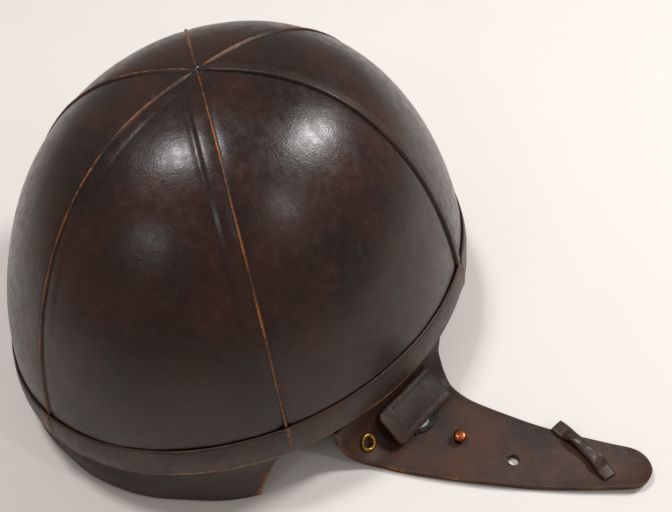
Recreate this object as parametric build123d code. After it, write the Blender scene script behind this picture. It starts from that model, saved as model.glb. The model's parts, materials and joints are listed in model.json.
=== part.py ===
from build123d import *
import math
import os

# Leather-covered hard-shell sports helmet, laid down on a table, in millimetres.
# +Y is the back of the head, -X the wearer's right, +Z up from the table.
# The helmet leans to its left: the right ear flap stands under the rim and props it up,
# the left one is folded in flat under it, and the neck flap's tail is folded in at the back.

# ---- the dome, measured over the leather ----
DOME_LENGTH = 250.0
DOME_WIDTH = 214.0
CROWN_RISE = 128.5  # from the widest ring up to the crown
RIM_WALL = 6.0  # straight wall below the widest ring
CROWN_FULLNESS = 1.64  # exponents of the side profile
SHOULDER_FULLNESS = 2.68
GORES = 6

# ---- its layers, from the outside in ----
PANEL = 1.8
SHELL_WALL = 4.0
LINING = 3.0
GLUE = 0.1  # gap left between two layers for the glue

# ---- seams and rim ----
WELT_WIDTH = 3.6
WELT_RISE = 0.9
WELT_START = 3.8  # how far from the crown's centre the beads begin
BAND_HEIGHT = 17.0
BAND = 1.6
BAND_TURN_UP = 12.0  # how far the band is turned up inside

# ---- harness inside ----
SWEATBAND = 1.5
SWEATBAND_TOP = 40.0
SWEATBAND_FELT = 5.4
FELT_BOTTOM = 14.0
FELT_TOP = 36.0
WEBBING_WIDTH = 20.0
WEBBING = 1.5
WEBBING_FOOT = 26.0  # height at which the webbing is sewn to the sweatband
CRADLE_DROP = 30.0  # from the crown's outside down to the webbing
LACE = 3.2
LACE_RING = 17.0
CROWN_PAD = 5.0
CROWN_PAD_RADIUS = 30.0

# ---- how it lies ----
LEAN = 8.0  # degrees, right side up
RIM_CLEARANCE = 5.5  # lowest point of the rim above the table

# ---- flap leather: an outer ply and a lining ply, glued ----
OUTER_PLY = 1.6
LINING_PLY = 1.3
FLAP = OUTER_PLY + LINING_PLY + GLUE
CREASE_GAP = 0.35  # running gap beside a crease's round edge
RIM_GAP = 0.5  # between a flap's root and the rim

# ---- neck flap ----
NECK_HALF_ANGLE = 52.0  # degrees each side of the back seam
NECK_INSET = 5.0  # from the band's outside to the flap's outside
TAIL_GAP = 0.9
TAIL_LENGTH = 48.0
TAIL_HALF_WIDTH = 66.0
BINDING = 0.9

# ---- ear flaps ----
EAR_FLAP_FRONT = 36.0  # from the ear's centre line to the front edge
EAR_FLAP_BACK = 40.0
BEND_RADIUS = 18.0  # where the right flap turns out along the table
EAR_FLAP_FOOT = 9.5  # flat length after the bend, up to the strap's crease
FOOT_BACK = 24.0  # half widths of the flap at the strap's crease
FOOT_FRONT = 30.0
EAR_HOLE_LENGTH = 22.0
EAR_HOLE_WIDTH = 17.0
EAR_HOLE_FORWARD = 6.0
EAR_HOLE_OUT = 4.0  # from the bend's centre line back towards the head

# ---- ear cover tabs and their snaps ----
TAB = 1.6
TAB_LENGTH = 39.0
TAB_WIDTH = 19.0
TAB_CORNER = 3.0
TAB_FRONT = 24.0  # from the ear's centre line forward to the tab's crease
TAB_SLOPE = 29.0  # degrees, the loose right tab across the flap's bend
TAB_STAND_OFF = 3.0  # from the flap's face out to the right tab's upper edge
TAB_GAP = 0.2
SNAP_RADIUS = 4.3
SNAP_BORE = 2.5
SNAP_WALL = 0.6
SNAP_FLANGE = 1.0
SNAP_BACK = 24.7  # from the ear's centre line back to the socket
SNAP_TURN = 45.0  # degrees round the bend
PIN_GAP = 0.1

# ---- chin straps ----
STRAP_SWEEP = 29.0  # degrees forward of straight out
STRAP_LENGTH = 106.0
STRAP_HALF_WIDTH = 18.0
STRAP_TIP_RADIUS = 11.5
STRAP_TIP_SHIFT = 4.5  # how far the tip curls forward
STRAP_HOLE_RADIUS = 2.8
STRAP_HOLE_AT = (40.7, -3.6)  # along the strap, and forward
STUD_AT = (13.6, 2.2)
STUD_SHANK = 1.7
STUD_HEAD = 3.3
STUD_HEIGHT = 5.0
STUD_CAP = 2.2
WASHER_RADIUS = 5.0
WASHER = 0.8
LEFT_HOLES_ALONG = (34.0, 50.0, 66.0)  # they take the right strap's stud
KEEPER_START = (59.8, 15.0)
KEEPER_END = (82.0, -6.0)
KEEPER_WIDTH = 7.0
KEEPER = 1.6
KEEPER_RISE = 3.4
KEEPER_FOOT = 6.0

HALF_LENGTH = DOME_LENGTH / 2
SQUEEZE = DOME_WIDTH / DOME_LENGTH
SHELL_AT = PANEL + GLUE
SHELL_INSIDE = SHELL_AT + SHELL_WALL
LINING_AT = SHELL_INSIDE + GLUE
LINING_INSIDE = LINING_AT + LINING
FELT_AT = LINING_INSIDE + GLUE
SWEATBAND_AT = FELT_AT + SWEATBAND_FELT + GLUE
SWEATBAND_INSIDE = SWEATBAND_AT + SWEATBAND
WEBBING_AT = SWEATBAND_INSIDE + GLUE
BAND_UNDER = BAND + GLUE
TURN_UP_INSIDE = LINING_AT + BAND
GORE = 360.0 / GORES
GORE_NAMES = ("back_right", "right", "front_right", "front_left", "left", "back_left")
SEAM_NAMES = ("back", "back_right", "front_right", "front", "front_left", "back_left")
RIM_HEIGHT = RIM_CLEARANCE + (DOME_WIDTH / 2 + BAND_UNDER) * math.sin(math.radians(LEAN))
SETTLE = Location((0, 0, RIM_HEIGHT), (0, LEAN, 0))
BIG = 2 * DOME_LENGTH


def dome_point(inset, drop, turn):
    """Point of the side profile: turn 0 is the widest ring and 90 the crown."""
    rise = CROWN_RISE - drop
    reach = HALF_LENGTH - inset
    turn = math.radians(turn)
    radius = reach * max(math.cos(turn), 0.0) ** (2 / SHOULDER_FULLNESS)
    height = RIM_WALL + rise * math.sin(turn) ** (2 / CROWN_FULLNESS)
    return (radius, height)


def turn_at_height(drop, height):
    """Turn of the profile at a height above the rim."""
    up = max(height - RIM_WALL, 0.0) / (CROWN_RISE - drop)
    return math.degrees(math.asin(up ** (CROWN_FULLNESS / 2)))


def turn_at_radius(inset, radius):
    """Turn of the profile at a distance from the dome's axis."""
    out = radius / (HALF_LENGTH - inset)
    return math.degrees(math.acos(out ** (SHOULDER_FULLNESS / 2)))


def meridian(inset, drop, low, first, last):
    """Edges of the profile, from height low on the rim wall up to the turn called last."""
    steps = max(3, round((last - first) / 11))
    turns = [first + (last - first) * i / steps for i in range(steps + 1)]
    points = [dome_point(inset, drop, turn) for turn in turns]
    edges = []
    if first == 0 and low < RIM_WALL:
        edges.append(Line((points[0][0], low), points[0]))
    edges.append(Spline(*points))
    return edges


def wall_face(outer, inner, low, high=None, drops=None, radius=0.0):
    """Section of a layer between two insets, up to a height, or in to a radius."""
    drops = drops or (outer, inner)
    curves = []
    for inset, drop in zip((outer, inner), drops):
        first = turn_at_height(drop, low)
        if high is None:
            last = turn_at_radius(inset, radius)
        else:
            last = turn_at_height(drop, high)
        if high is not None and high <= RIM_WALL:
            reach = HALF_LENGTH - inset
            curves.append([Line((reach, low), (reach, high))])
        else:
            curves.append(meridian(inset, drop, low, first, last))
    outside, inside = curves
    bottom = Line(outside[0] @ 0, inside[0] @ 0)
    top = Line(outside[-1] @ 1, inside[-1] @ 1)
    return Plane.XZ * make_face(outside + inside + [bottom, top])


def spun(face, start=0.0, arc=360.0):
    """The section turned about the dome's axis, from an angle off the back seam."""
    solid = revolve(face, Axis.Z, arc)
    return Rot(0, 0, 90 + start) * solid


def squeezed(shape):
    """The round dome made narrower from ear to ear, then laid down as it lies."""
    return SETTLE * scale(shape, by=(SQUEEZE, 1, 1))


def radial_slab(angle, width, start):
    """Upright slab along a seam, from a distance off the crown's centre outwards."""
    slab = Pos(0, start + BIG / 2, 0) * Box(width, BIG, BIG)
    return Rot(0, 0, angle) * slab


def crown_panel(index):
    return squeezed(spun(wall_face(0, PANEL, BAND_UNDER), index * GORE, GORE))


def seam_welt(index):
    angle = index * GORE
    layer = wall_face(-WELT_RISE, -GLUE / 2, BAND_HEIGHT + GLUE, radius=WELT_START / 2)
    sector = spun(layer, angle - GORE / 2, GORE)
    return squeezed(sector & radial_slab(angle, WELT_WIDTH, WELT_START))


def hard_shell():
    return squeezed(spun(wall_face(SHELL_AT, SHELL_INSIDE, BAND_UNDER)))


def felt_lining():
    return squeezed(spun(wall_face(LINING_AT, LINING_INSIDE, BAND_TURN_UP + GLUE)))


def rim_band():
    """Outer leg, underside and turned-up inner leg of the leather round the edge."""
    outer = wall_face(-BAND_UNDER, -GLUE, 0, BAND_HEIGHT)
    under = wall_face(-GLUE, TURN_UP_INSIDE, 0, BAND)
    inner = wall_face(LINING_AT, TURN_UP_INSIDE, 0, BAND_TURN_UP)
    return squeezed(spun(outer) + spun(under) + spun(inner))


def sweatband():
    """Leather that meets the forehead, with the edge that is sewn to the rim."""
    upright = wall_face(SWEATBAND_AT, SWEATBAND_INSIDE, BAND, SWEATBAND_TOP)
    ledge = wall_face(TURN_UP_INSIDE + GLUE, SWEATBAND_INSIDE, BAND, 2 * BAND)
    return squeezed(spun(upright) + spun(ledge))


def sweatband_felt():
    return squeezed(spun(wall_face(FELT_AT, FELT_AT + SWEATBAND_FELT, FELT_BOTTOM, FELT_TOP)))


def cradle_strap(index):
    angle = index * GORE
    insets = (WEBBING_AT, WEBBING_AT + WEBBING)
    drops = (CRADLE_DROP, CRADLE_DROP + WEBBING)
    start = LACE_RING + LACE / 2 + GLUE
    layer = wall_face(*insets, WEBBING_FOOT, drops=drops, radius=start / 2)
    sector = spun(layer, angle - GORE / 2, GORE)
    return squeezed(sector & radial_slab(angle, WEBBING_WIDTH, start))


def cradle_lace():
    turn = turn_at_radius(WEBBING_AT, LACE_RING)
    height = dome_point(WEBBING_AT, CRADLE_DROP, turn)[1] - WEBBING / 2
    return squeezed(Pos(0, 0, height) * Torus(LACE_RING, LACE / 2))


def crown_pad():
    """Felt disc under the crown, cut out of a layer of the dome."""
    layer = spun(wall_face(FELT_AT, FELT_AT + CROWN_PAD, CROWN_RISE / 2))
    return squeezed(layer & Cylinder(CROWN_PAD_RADIUS, BIG))


def oval(half_width, half_length, height):
    """Upright oval post on the table, centred under the rim's centre."""
    return extrude(Ellipse(half_width, half_length), height)


def neck_wedge(height):
    """Upright wedge that holds the neck flap's share of the oval."""
    side = BIG * math.tan(math.radians(NECK_HALF_ANGLE)) * SQUEEZE
    corners = [(0, 0), (-side, BIG), (side, BIG), (0, 0)]
    return extrude(make_face(Polyline(*corners)), height)


def neck_layer(first, last):
    """Neck flap leather between two depths, from its tail's crease up to the rim."""
    height = 2 * RIM_HEIGHT
    ring = oval(NECK_HALF_WIDTH - first, NECK_BACK - first, height)
    ring -= oval(NECK_HALF_WIDTH - last, NECK_BACK - last, height)
    below_rim = SETTLE * (Pos(0, 0, -GLUE - BIG / 2) * Box(BIG, BIG, BIG))
    above_tail = Pos(0, 0, FLAP + TAIL_GAP + BIG / 2) * Box(BIG, BIG, BIG)
    return ring & neck_wedge(height) & below_rim & above_tail


def tail_outline(margin):
    """Outline of the folded tail, in from its free edges: the flap's oval behind."""
    outside = Ellipse(NECK_HALF_WIDTH, NECK_BACK)
    middle = NECK_BACK - TAIL_LENGTH / 2 + margin / 2
    keep = Rectangle(2 * (TAIL_HALF_WIDTH - margin), TAIL_LENGTH - margin)
    return outside & (Pos(0, middle) * keep)


def tail_ply(low, high):
    return extrude(Pos(0, 0, low) * tail_outline(BINDING + GLUE), high - low)


def neck_tail_binding():
    """Leather strip round the tail's three free edges."""
    return extrude(tail_outline(0), FLAP) - extrude(tail_outline(BINDING), FLAP)


def bend_section(low, high):
    """Section of a ply between two depths above its table side: wall, bend and foot."""
    top = RIGHT_HINGE.Z
    foot = RIGHT_CREASE.X + CREASE_REACH
    eighth = math.cos(math.radians(45))
    edges = []
    for depth in (low, high):
        radius = BEND_RADIUS - depth
        upright = (RIGHT_WALL - depth, BEND_CENTRE.Z)
        middle = (BEND_CENTRE.X + radius * eighth, BEND_CENTRE.Z - radius * eighth)
        flat = (BEND_CENTRE.X, depth)
        edges.append(Line((upright[0], top), upright))
        edges.append(ThreePointArc(upright, middle, flat))
        edges.append(Line(flat, (foot, depth)))
    edges.append(Line((RIGHT_WALL - low, top), (RIGHT_WALL - high, top)))
    edges.append(Line((foot, low), (foot, high)))
    return Plane.XZ * make_face(edges)


def flap_outline(root, foot):
    """Plan of an ear flap that runs in -X from its root to its foot."""
    bend = foot + EAR_FLAP_FOOT + BEND_RADIUS / 2
    corners = [
        (root, EAR_FLAP_BACK),
        (bend, EAR_FLAP_BACK - FLAP),
        (foot, FOOT_BACK),
        (foot, -FOOT_FRONT),
        (bend, -EAR_FLAP_FRONT),
        (root, -EAR_FLAP_FRONT),
    ]
    return make_face(Polyline(*corners, close=True))


def edge_bead(centre):
    """Round edge of an ear flap, along the crease that it turns in."""
    middle = (EAR_FLAP_BACK - EAR_FLAP_FRONT) / 2
    length = EAR_FLAP_BACK + EAR_FLAP_FRONT
    return Pos(centre.X, middle, centre.Z) * Rot(90, 0, 0) * Cylinder(FLAP / 2, length)


def ear_hole(x):
    """Upright oval cutter for the ear opening."""
    hole = extrude(Ellipse(EAR_HOLE_WIDTH / 2, EAR_HOLE_LENGTH / 2), BIG)
    return Pos(x, -EAR_HOLE_FORWARD, -BIG / 2) * hole


def snap_cutter():
    return Cylinder(SNAP_BORE + SNAP_WALL + PIN_GAP, 4 * FLAP)


def snap_ring(lift):
    """Brass socket: a flange held off the leather by its lift, and a barrel through it."""
    flange = Pos(0, 0, lift + SNAP_FLANGE / 2) * Cylinder(SNAP_RADIUS, SNAP_FLANGE)
    length = lift + FLAP - SNAP_WALL
    barrel = Pos(0, 0, lift - length / 2) * Cylinder(SNAP_BORE + SNAP_WALL, length)
    return flange + barrel - Cylinder(SNAP_BORE, 4 * FLAP)


def right_flap_ply(low, high):
    strip = extrude(bend_section(low, high), EAR_FLAP_FRONT + EAR_FLAP_BACK, both=True)
    plan = extrude(flap_outline(RIGHT_WALL, RIGHT_CREASE.X + CREASE_REACH), BIG)
    return (strip & plan) - ear_hole(RIGHT_HOLE_X) - RIGHT_SNAP * snap_cutter()


def right_ear_flap():
    return right_flap_ply(LINING_PLY + GLUE, FLAP) + edge_bead(RIGHT_HINGE)


def right_ear_flap_lining():
    top = RIGHT_HINGE.Z - FLAP / 2 - GLUE
    return right_flap_ply(0, LINING_PLY) & Pos(0, 0, top - BIG / 2) * Box(BIG, BIG, BIG)


def right_snap_socket():
    return RIGHT_SNAP * snap_ring(SNAP_LIFT)


def tab_sheet():
    """Ear cover as cut: hinged along its front edge, with round rear corners."""
    sheet = extrude(Rectangle(TAB_WIDTH, TAB_LENGTH, align=(Align.MIN, Align.MIN)), TAB)
    rear = sheet.edges().filter_by(Axis.Z).group_by(Axis.Y)[-1]
    return fillet(rear, TAB_CORNER)


def right_ear_tab():
    return RIGHT_TAB * tab_sheet()


def left_flap_ply(low, high, root):
    """Flat ply of the left ear flap, which lies folded in under the rim."""
    plan = flap_outline(root, LEFT_CREASE.X + CREASE_REACH)
    ply = extrude(Pos(0, 0, LEFT_LEVEL + low) * plan, high - low)
    return ply - ear_hole(LEFT_HOLE_X) - LEFT_SNAP * snap_cutter()


def left_ear_flap():
    """Outer leather, which faces the table."""
    return left_flap_ply(0, OUTER_PLY, LEFT_HINGE.X) + edge_bead(LEFT_HINGE)


def left_ear_flap_lining():
    return left_flap_ply(OUTER_PLY + GLUE, FLAP, LEFT_HINGE.X - FLAP / 2 - GLUE)


def left_snap_socket():
    return LEFT_SNAP * snap_ring(0)


def left_ear_tab():
    return Pos(LEFT_HOLE_X - TAB_WIDTH / 2, -TAB_FRONT, 0) * tab_sheet()


def strap_outline():
    """Plan of a strap: two long curves to a round tip that is set a little forward."""
    tip = STRAP_LENGTH - STRAP_TIP_RADIUS
    sweep = math.radians(STRAP_SWEEP)
    rear_root = (-FOOT_BACK * math.sin(sweep), -FOOT_BACK * math.cos(sweep))
    front_root = (FOOT_FRONT * math.sin(sweep), FOOT_FRONT * math.cos(sweep))
    rear_tip = (tip, STRAP_TIP_SHIFT - STRAP_TIP_RADIUS)
    front_tip = (tip, STRAP_TIP_SHIFT + STRAP_TIP_RADIUS)
    rear = Spline(rear_root, (STRAP_LENGTH / 3, -STRAP_HALF_WIDTH), rear_tip)
    end = ThreePointArc(rear_tip, (STRAP_LENGTH, STRAP_TIP_SHIFT), front_tip)
    front = Spline(front_tip, (STRAP_LENGTH / 2, STRAP_HALF_WIDTH), front_root)
    return make_face([rear, end, front, Line(front_root, rear_root)])


def strap_frame(crease, level):
    """Place of a flat strap: X runs along it from the crease, and Y is forward."""
    return Pos(crease.X, 0, level) * Rot(0, 0, 180 + STRAP_SWEEP)


def strap_ply(crease, low, high, clear):
    """Flat ply of a strap, kept clear of the crease's round edge."""
    frame = strap_frame(crease, crease.Z - FLAP / 2)
    ply = frame * extrude(Pos(0, 0, low) * strap_outline(), high - low)
    return ply - Pos(crease.X - clear + BIG / 2, 0, 0) * Box(BIG, BIG, BIG)


def crease_bead(crease):
    """Round edge of a strap, along the crease that it turns in."""
    middle = (FOOT_BACK - FOOT_FRONT) / 2
    length = FOOT_BACK + FOOT_FRONT
    return Pos(crease.X, middle, crease.Z) * Rot(90, 0, 0) * Cylinder(FLAP / 2, length)


def strap_hole(frame, place, radius):
    return frame * (Pos(*place, 0) * Cylinder(radius, 4 * FLAP))


def right_chin_strap():
    ply = strap_ply(RIGHT_CREASE, LINING_PLY + GLUE, FLAP, 0) + crease_bead(RIGHT_CREASE)
    ply -= strap_hole(RIGHT_STRAP, STRAP_HOLE_AT, STRAP_HOLE_RADIUS)
    return ply - strap_hole(RIGHT_STRAP, STUD_AT, STUD_SHANK + PIN_GAP)


def right_chin_strap_lining():
    ply = strap_ply(RIGHT_CREASE, 0, LINING_PLY, FLAP / 2 + GLUE)
    ply -= strap_hole(RIGHT_STRAP, STRAP_HOLE_AT, STRAP_HOLE_RADIUS)
    return ply - strap_hole(RIGHT_STRAP, STUD_AT, WASHER_RADIUS + PIN_GAP)


def right_strap_stud():
    """Copper post: a shank through the leather, a neck, and a wider round head."""
    start = LINING_PLY - WASHER
    top = FLAP + STUD_HEIGHT
    shank = Pos(0, 0, (start + top) / 2) * Cylinder(STUD_SHANK, top - start)
    cap = Pos(0, 0, top - STUD_CAP / 2) * Cylinder(STUD_HEAD, STUD_CAP)
    cap = fillet(cap.edges().group_by(Axis.Z)[-1], STUD_CAP / 2)
    return RIGHT_STRAP * (Pos(*STUD_AT, 0) * (shank + cap))


def right_strap_washer():
    disc = Cylinder(WASHER_RADIUS, WASHER) - Cylinder(STUD_SHANK + PIN_GAP, WASHER)
    return RIGHT_STRAP * (Pos(*STUD_AT, LINING_PLY - WASHER / 2) * disc)


def right_strap_keeper():
    """Leather bridge across the strap, sewn down at both ends, for the other strap's tip."""
    (x0, y0), (x1, y1) = KEEPER_START, KEEPER_END
    span = math.hypot(x1 - x0, y1 - y0)
    turn = math.degrees(math.atan2(y1 - y0, x1 - x0))
    under = [
        (0, 0),
        (KEEPER_FOOT, 0),
        (KEEPER_FOOT + KEEPER_RISE, KEEPER_RISE),
        (span - KEEPER_FOOT - KEEPER_RISE, KEEPER_RISE),
        (span - KEEPER_FOOT, 0),
        (span, 0),
    ]
    over = [(x, y + KEEPER) for x, y in reversed(under)]
    section = make_face(Polyline(*under, *over, close=True))
    bridge = extrude(Plane.XZ * section, KEEPER_WIDTH / 2, both=True)
    return RIGHT_STRAP * (Pos(x0, y0, FLAP + GLUE) * Rot(0, 0, turn) * bridge)


def left_chin_strap():
    ply = strap_ply(LEFT_CREASE, 0, OUTER_PLY, 0) + crease_bead(LEFT_CREASE)
    for along in LEFT_HOLES_ALONG:
        ply -= strap_hole(LEFT_STRAP, (along, 0), STRAP_HOLE_RADIUS)
    return ply


def left_chin_strap_lining():
    ply = strap_ply(LEFT_CREASE, OUTER_PLY + GLUE, FLAP, FLAP / 2 + GLUE)
    for along in LEFT_HOLES_ALONG:
        ply -= strap_hole(LEFT_STRAP, (along, 0), STRAP_HOLE_RADIUS)
    return ply


# ---- places that follow from the sizes above ----
LEAN_COS = math.cos(math.radians(LEAN))
LEAN_TAN = math.tan(math.radians(LEAN))
NECK_HALF_WIDTH = DOME_WIDTH / 2 + BAND_UNDER - NECK_INSET
NECK_BACK = HALF_LENGTH + BAND_UNDER - NECK_INSET

TURN_UP_AT = (HALF_LENGTH - TURN_UP_INSIDE) * SQUEEZE * LEAN_COS
CREASE_REACH = FLAP / 2 + CREASE_GAP
RIGHT_RIM = RIM_HEIGHT + (TURN_UP_AT - FLAP) * LEAN_TAN
RIGHT_HINGE = Vector(-TURN_UP_AT, 0, RIGHT_RIM - RIM_GAP - FLAP / 2)
RIGHT_WALL = RIGHT_HINGE.X + FLAP / 2
BEND_CENTRE = Vector(RIGHT_WALL - BEND_RADIUS, 0, BEND_RADIUS)
RIGHT_CREASE = Vector(BEND_CENTRE.X - EAR_FLAP_FOOT, 0, FLAP / 2)
RIGHT_HOLE_X = BEND_CENTRE.X + EAR_HOLE_OUT
RIGHT_STRAP = strap_frame(RIGHT_CREASE, 0)

# The socket sits in the hollow of the bend, its flange bridging the rise of the arc.
HOLLOW = BEND_RADIUS - FLAP
SNAP_LIFT = HOLLOW - math.sqrt(HOLLOW**2 - SNAP_RADIUS**2) + GLUE
SNAP_X = BEND_CENTRE.X + HOLLOW * math.cos(math.radians(SNAP_TURN))
SNAP_Z = BEND_CENTRE.Z - HOLLOW * math.sin(math.radians(SNAP_TURN))
RIGHT_SNAP = Location((SNAP_X, SNAP_BACK, SNAP_Z), (0, -SNAP_TURN, 0))

TAB_EDGE = Vector(RIGHT_WALL - FLAP - TAB_STAND_OFF, -TAB_FRONT, HOLLOW)
RIGHT_TAB = Location((TAB_EDGE.X, TAB_EDGE.Y, TAB_EDGE.Z), (0, 180 - TAB_SLOPE, 0))

# The left flap lies flat on its closed tab, as long as the right one is round its bend.
LEFT_LEVEL = TAB + TAB_GAP
LEFT_HINGE = Vector(TURN_UP_AT - FLAP / 2 - RIM_GAP, 0, LEFT_LEVEL + FLAP / 2)
WALL_LENGTH = RIGHT_HINGE.Z - BEND_RADIUS
BEND_LENGTH = math.radians(90) * (BEND_RADIUS - FLAP / 2)
LEFT_CREASE_X = LEFT_HINGE.X - WALL_LENGTH - BEND_LENGTH - EAR_FLAP_FOOT
LEFT_CREASE = Vector(LEFT_CREASE_X, 0, LEFT_HINGE.Z)
LEFT_HOLE_X = LEFT_CREASE.X + EAR_FLAP_FOOT + EAR_HOLE_OUT
LEFT_SNAP_X = LEFT_HINGE.X - WALL_LENGTH - BEND_LENGTH * (90 - SNAP_TURN) / 90
LEFT_SNAP = Location((LEFT_SNAP_X, SNAP_BACK, LEFT_LEVEL), (180, 0, 0))
LEFT_STRAP = strap_frame(LEFT_CREASE, LEFT_LEVEL)


def all_nodes():
    """Every piece by name, where it lies round the rim's centre."""
    nodes = {}
    for index, name in enumerate(GORE_NAMES):
        nodes["crown_panel_" + name] = crown_panel(index)
    for index, name in enumerate(SEAM_NAMES):
        nodes["seam_welt_" + name] = seam_welt(index)
        nodes["cradle_strap_" + name] = cradle_strap(index)
    nodes["hard_shell"] = hard_shell()
    nodes["felt_lining"] = felt_lining()
    nodes["rim_band"] = rim_band()
    nodes["sweatband"] = sweatband()
    nodes["sweatband_felt"] = sweatband_felt()
    nodes["cradle_lace"] = cradle_lace()
    nodes["crown_pad"] = crown_pad()
    nodes["neck_flap"] = neck_layer(0, OUTER_PLY)
    nodes["neck_flap_lining"] = neck_layer(OUTER_PLY + GLUE, FLAP)
    nodes["neck_tail"] = tail_ply(0, OUTER_PLY)
    nodes["neck_tail_lining"] = tail_ply(OUTER_PLY + GLUE, FLAP)
    nodes["neck_tail_binding"] = neck_tail_binding()
    nodes["right_ear_flap"] = right_ear_flap()
    nodes["right_ear_flap_lining"] = right_ear_flap_lining()
    nodes["right_snap_socket"] = right_snap_socket()
    nodes["right_ear_tab"] = right_ear_tab()
    nodes["right_chin_strap"] = right_chin_strap()
    nodes["right_chin_strap_lining"] = right_chin_strap_lining()
    nodes["right_strap_stud"] = right_strap_stud()
    nodes["right_strap_washer"] = right_strap_washer()
    nodes["right_strap_keeper"] = right_strap_keeper()
    nodes["left_ear_flap"] = left_ear_flap()
    nodes["left_ear_flap_lining"] = left_ear_flap_lining()
    nodes["left_snap_socket"] = left_snap_socket()
    nodes["left_ear_tab"] = left_ear_tab()
    nodes["left_chin_strap"] = left_chin_strap()
    nodes["left_chin_strap_lining"] = left_chin_strap_lining()
    return nodes


def base_centre(nodes):
    """Middle of the underside of the box round every piece, which is the origin."""
    boxes = [shape.bounding_box() for shape in nodes.values()]
    low = [min(tuple(box.min)[axis] for box in boxes) for axis in range(3)]
    high = [max(tuple(box.max)[axis] for box in boxes) for axis in range(3)]
    return Vector((low[0] + high[0]) / 2, (low[1] + high[1]) / 2, low[2])


def write_parts():
    os.makedirs("parts", exist_ok=True)
    nodes = all_nodes()
    origin = base_centre(nodes)
    for name, shape in nodes.items():
        export_step(Pos(-origin.X, -origin.Y, -origin.Z) * shape, f"parts/{name}.step")
    print("pieces", len(nodes), "rim centre from origin", -origin.X, -origin.Y, RIM_HEIGHT)


write_parts()
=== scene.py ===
import json
import math

import bmesh
import bpy
import numpy as np
from mathutils import Matrix, Vector


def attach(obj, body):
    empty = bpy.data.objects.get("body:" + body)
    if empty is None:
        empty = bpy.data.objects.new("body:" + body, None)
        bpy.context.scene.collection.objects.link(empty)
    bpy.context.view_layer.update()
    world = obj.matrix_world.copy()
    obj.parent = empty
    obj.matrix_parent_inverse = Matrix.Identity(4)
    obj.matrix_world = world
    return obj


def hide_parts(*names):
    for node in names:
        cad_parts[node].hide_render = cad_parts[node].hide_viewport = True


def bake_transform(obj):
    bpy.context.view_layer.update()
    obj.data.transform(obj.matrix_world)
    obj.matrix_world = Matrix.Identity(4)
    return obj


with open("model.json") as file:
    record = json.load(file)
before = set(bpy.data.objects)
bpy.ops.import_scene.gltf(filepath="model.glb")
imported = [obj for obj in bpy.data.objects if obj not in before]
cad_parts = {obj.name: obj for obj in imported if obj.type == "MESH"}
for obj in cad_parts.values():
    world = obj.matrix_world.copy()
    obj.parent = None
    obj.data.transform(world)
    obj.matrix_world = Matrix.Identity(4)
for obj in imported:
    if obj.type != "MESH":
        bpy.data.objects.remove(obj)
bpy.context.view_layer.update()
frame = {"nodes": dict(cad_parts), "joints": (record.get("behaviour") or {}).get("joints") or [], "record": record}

MM = 0.001

# ---- the helmet's own frame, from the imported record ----
MOUTH = next(m for m in frame["record"]["mounts"] if m["name"] == "head_opening")
RIM_CENTRE = np.array(MOUTH["pos_m"])
UP = -np.array(MOUTH["axis"])
BACK = np.array([0.0, 1.0, 0.0])
SIDE = np.cross(BACK, UP)
JOINTS = {joint["name"]: joint for joint in frame["joints"]}

# ---- sizes of the made pieces, in millimetres ----
HALF_LENGTH = 125.0
HALF_WIDTH = 107.0
CROWN_RISE = 128.5
RIM_WALL = 6.0
CROWN_FULLNESS = 1.64
SHOULDER_FULLNESS = 2.68
SEAMS = 6
GORE = 360.0 / SEAMS
BAND_HEIGHT = 17.0


def hinge(name):
    """Place of a crease, in millimetres."""
    return np.array(JOINTS[name]["pos_m"]) / MM


def smooth_step(low, high, value):
    """Eased ramp from 0 to 1 between two values."""
    share = np.clip((value - low) / (high - low), 0.0, 1.0)
    return share * share * (3.0 - 2.0 * share)


def bump(value, width):
    """Bell of height 1 and the given half width."""
    return np.exp(-((value / width) ** 2))


def ripple(a, b, size, seed):
    """Smooth uneven swell between -1 and 1: three crossed sine waves of about that size."""
    one = np.sin(a / size + 1.7 * seed) * np.cos(b / size * 0.83 + 2.3 * seed)
    two = np.sin((a + 1.6 * b) / size * 0.61 + 0.9 * seed)
    three = np.cos((1.3 * a - b) / size * 1.37 + 3.1 * seed)
    return (one + 0.7 * two + 0.5 * three) / 2.2


def dome(angle, turn, out=0.0):
    """Helmet surface: angle from the back seam towards the right ear, turn up the side.

    The side profile is a superellipse; out moves a point outwards along its normal.
    """
    angle = np.radians(angle)
    turn = np.radians(np.clip(turn, 0.0, 89.99))
    radius = np.cos(turn) ** (2 / SHOULDER_FULLNESS)
    rise = np.sin(turn) ** (2 / CROWN_FULLNESS)
    x = -HALF_WIDTH * radius * np.sin(angle)
    y = HALF_LENGTH * radius * np.cos(angle)
    z = RIM_WALL + CROWN_RISE * rise
    high = np.clip(rise, 1e-4, 1.0)
    wide = np.clip(radius, 1e-4, 1.0)
    slope = CROWN_FULLNESS * high ** (CROWN_FULLNESS - 1) / CROWN_RISE
    inward = SHOULDER_FULLNESS * wide ** (SHOULDER_FULLNESS - 1)
    normal = np.stack(
        [-inward * np.sin(angle) / HALF_WIDTH, inward * np.cos(angle) / HALF_LENGTH, slope],
        axis=-1,
    )
    normal /= np.linalg.norm(normal, axis=-1, keepdims=True)
    return np.stack([x, y, z], axis=-1) + normal * np.asarray(out)[..., None]


def turn_at(height):
    """Turn of the side profile at a height above the rim."""
    up = np.clip((np.asarray(height, float) - RIM_WALL) / CROWN_RISE, 0.0, 1.0)
    return np.degrees(np.arcsin(up ** (CROWN_FULLNESS / 2)))


def wall(angle, height, out=0.0):
    """Helmet surface by height above the rim, straight below the widest ring."""
    point = dome(angle, turn_at(height), out)
    point[..., 2] += np.minimum(np.asarray(height) - RIM_WALL, 0.0)
    return point


def settled(points):
    """Points of the upright helmet laid down as it lies, in metres."""
    points = np.asarray(points) * MM
    return RIM_CENTRE + points[..., :1] * SIDE + points[..., 1:2] * BACK + points[..., 2:3] * UP


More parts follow.
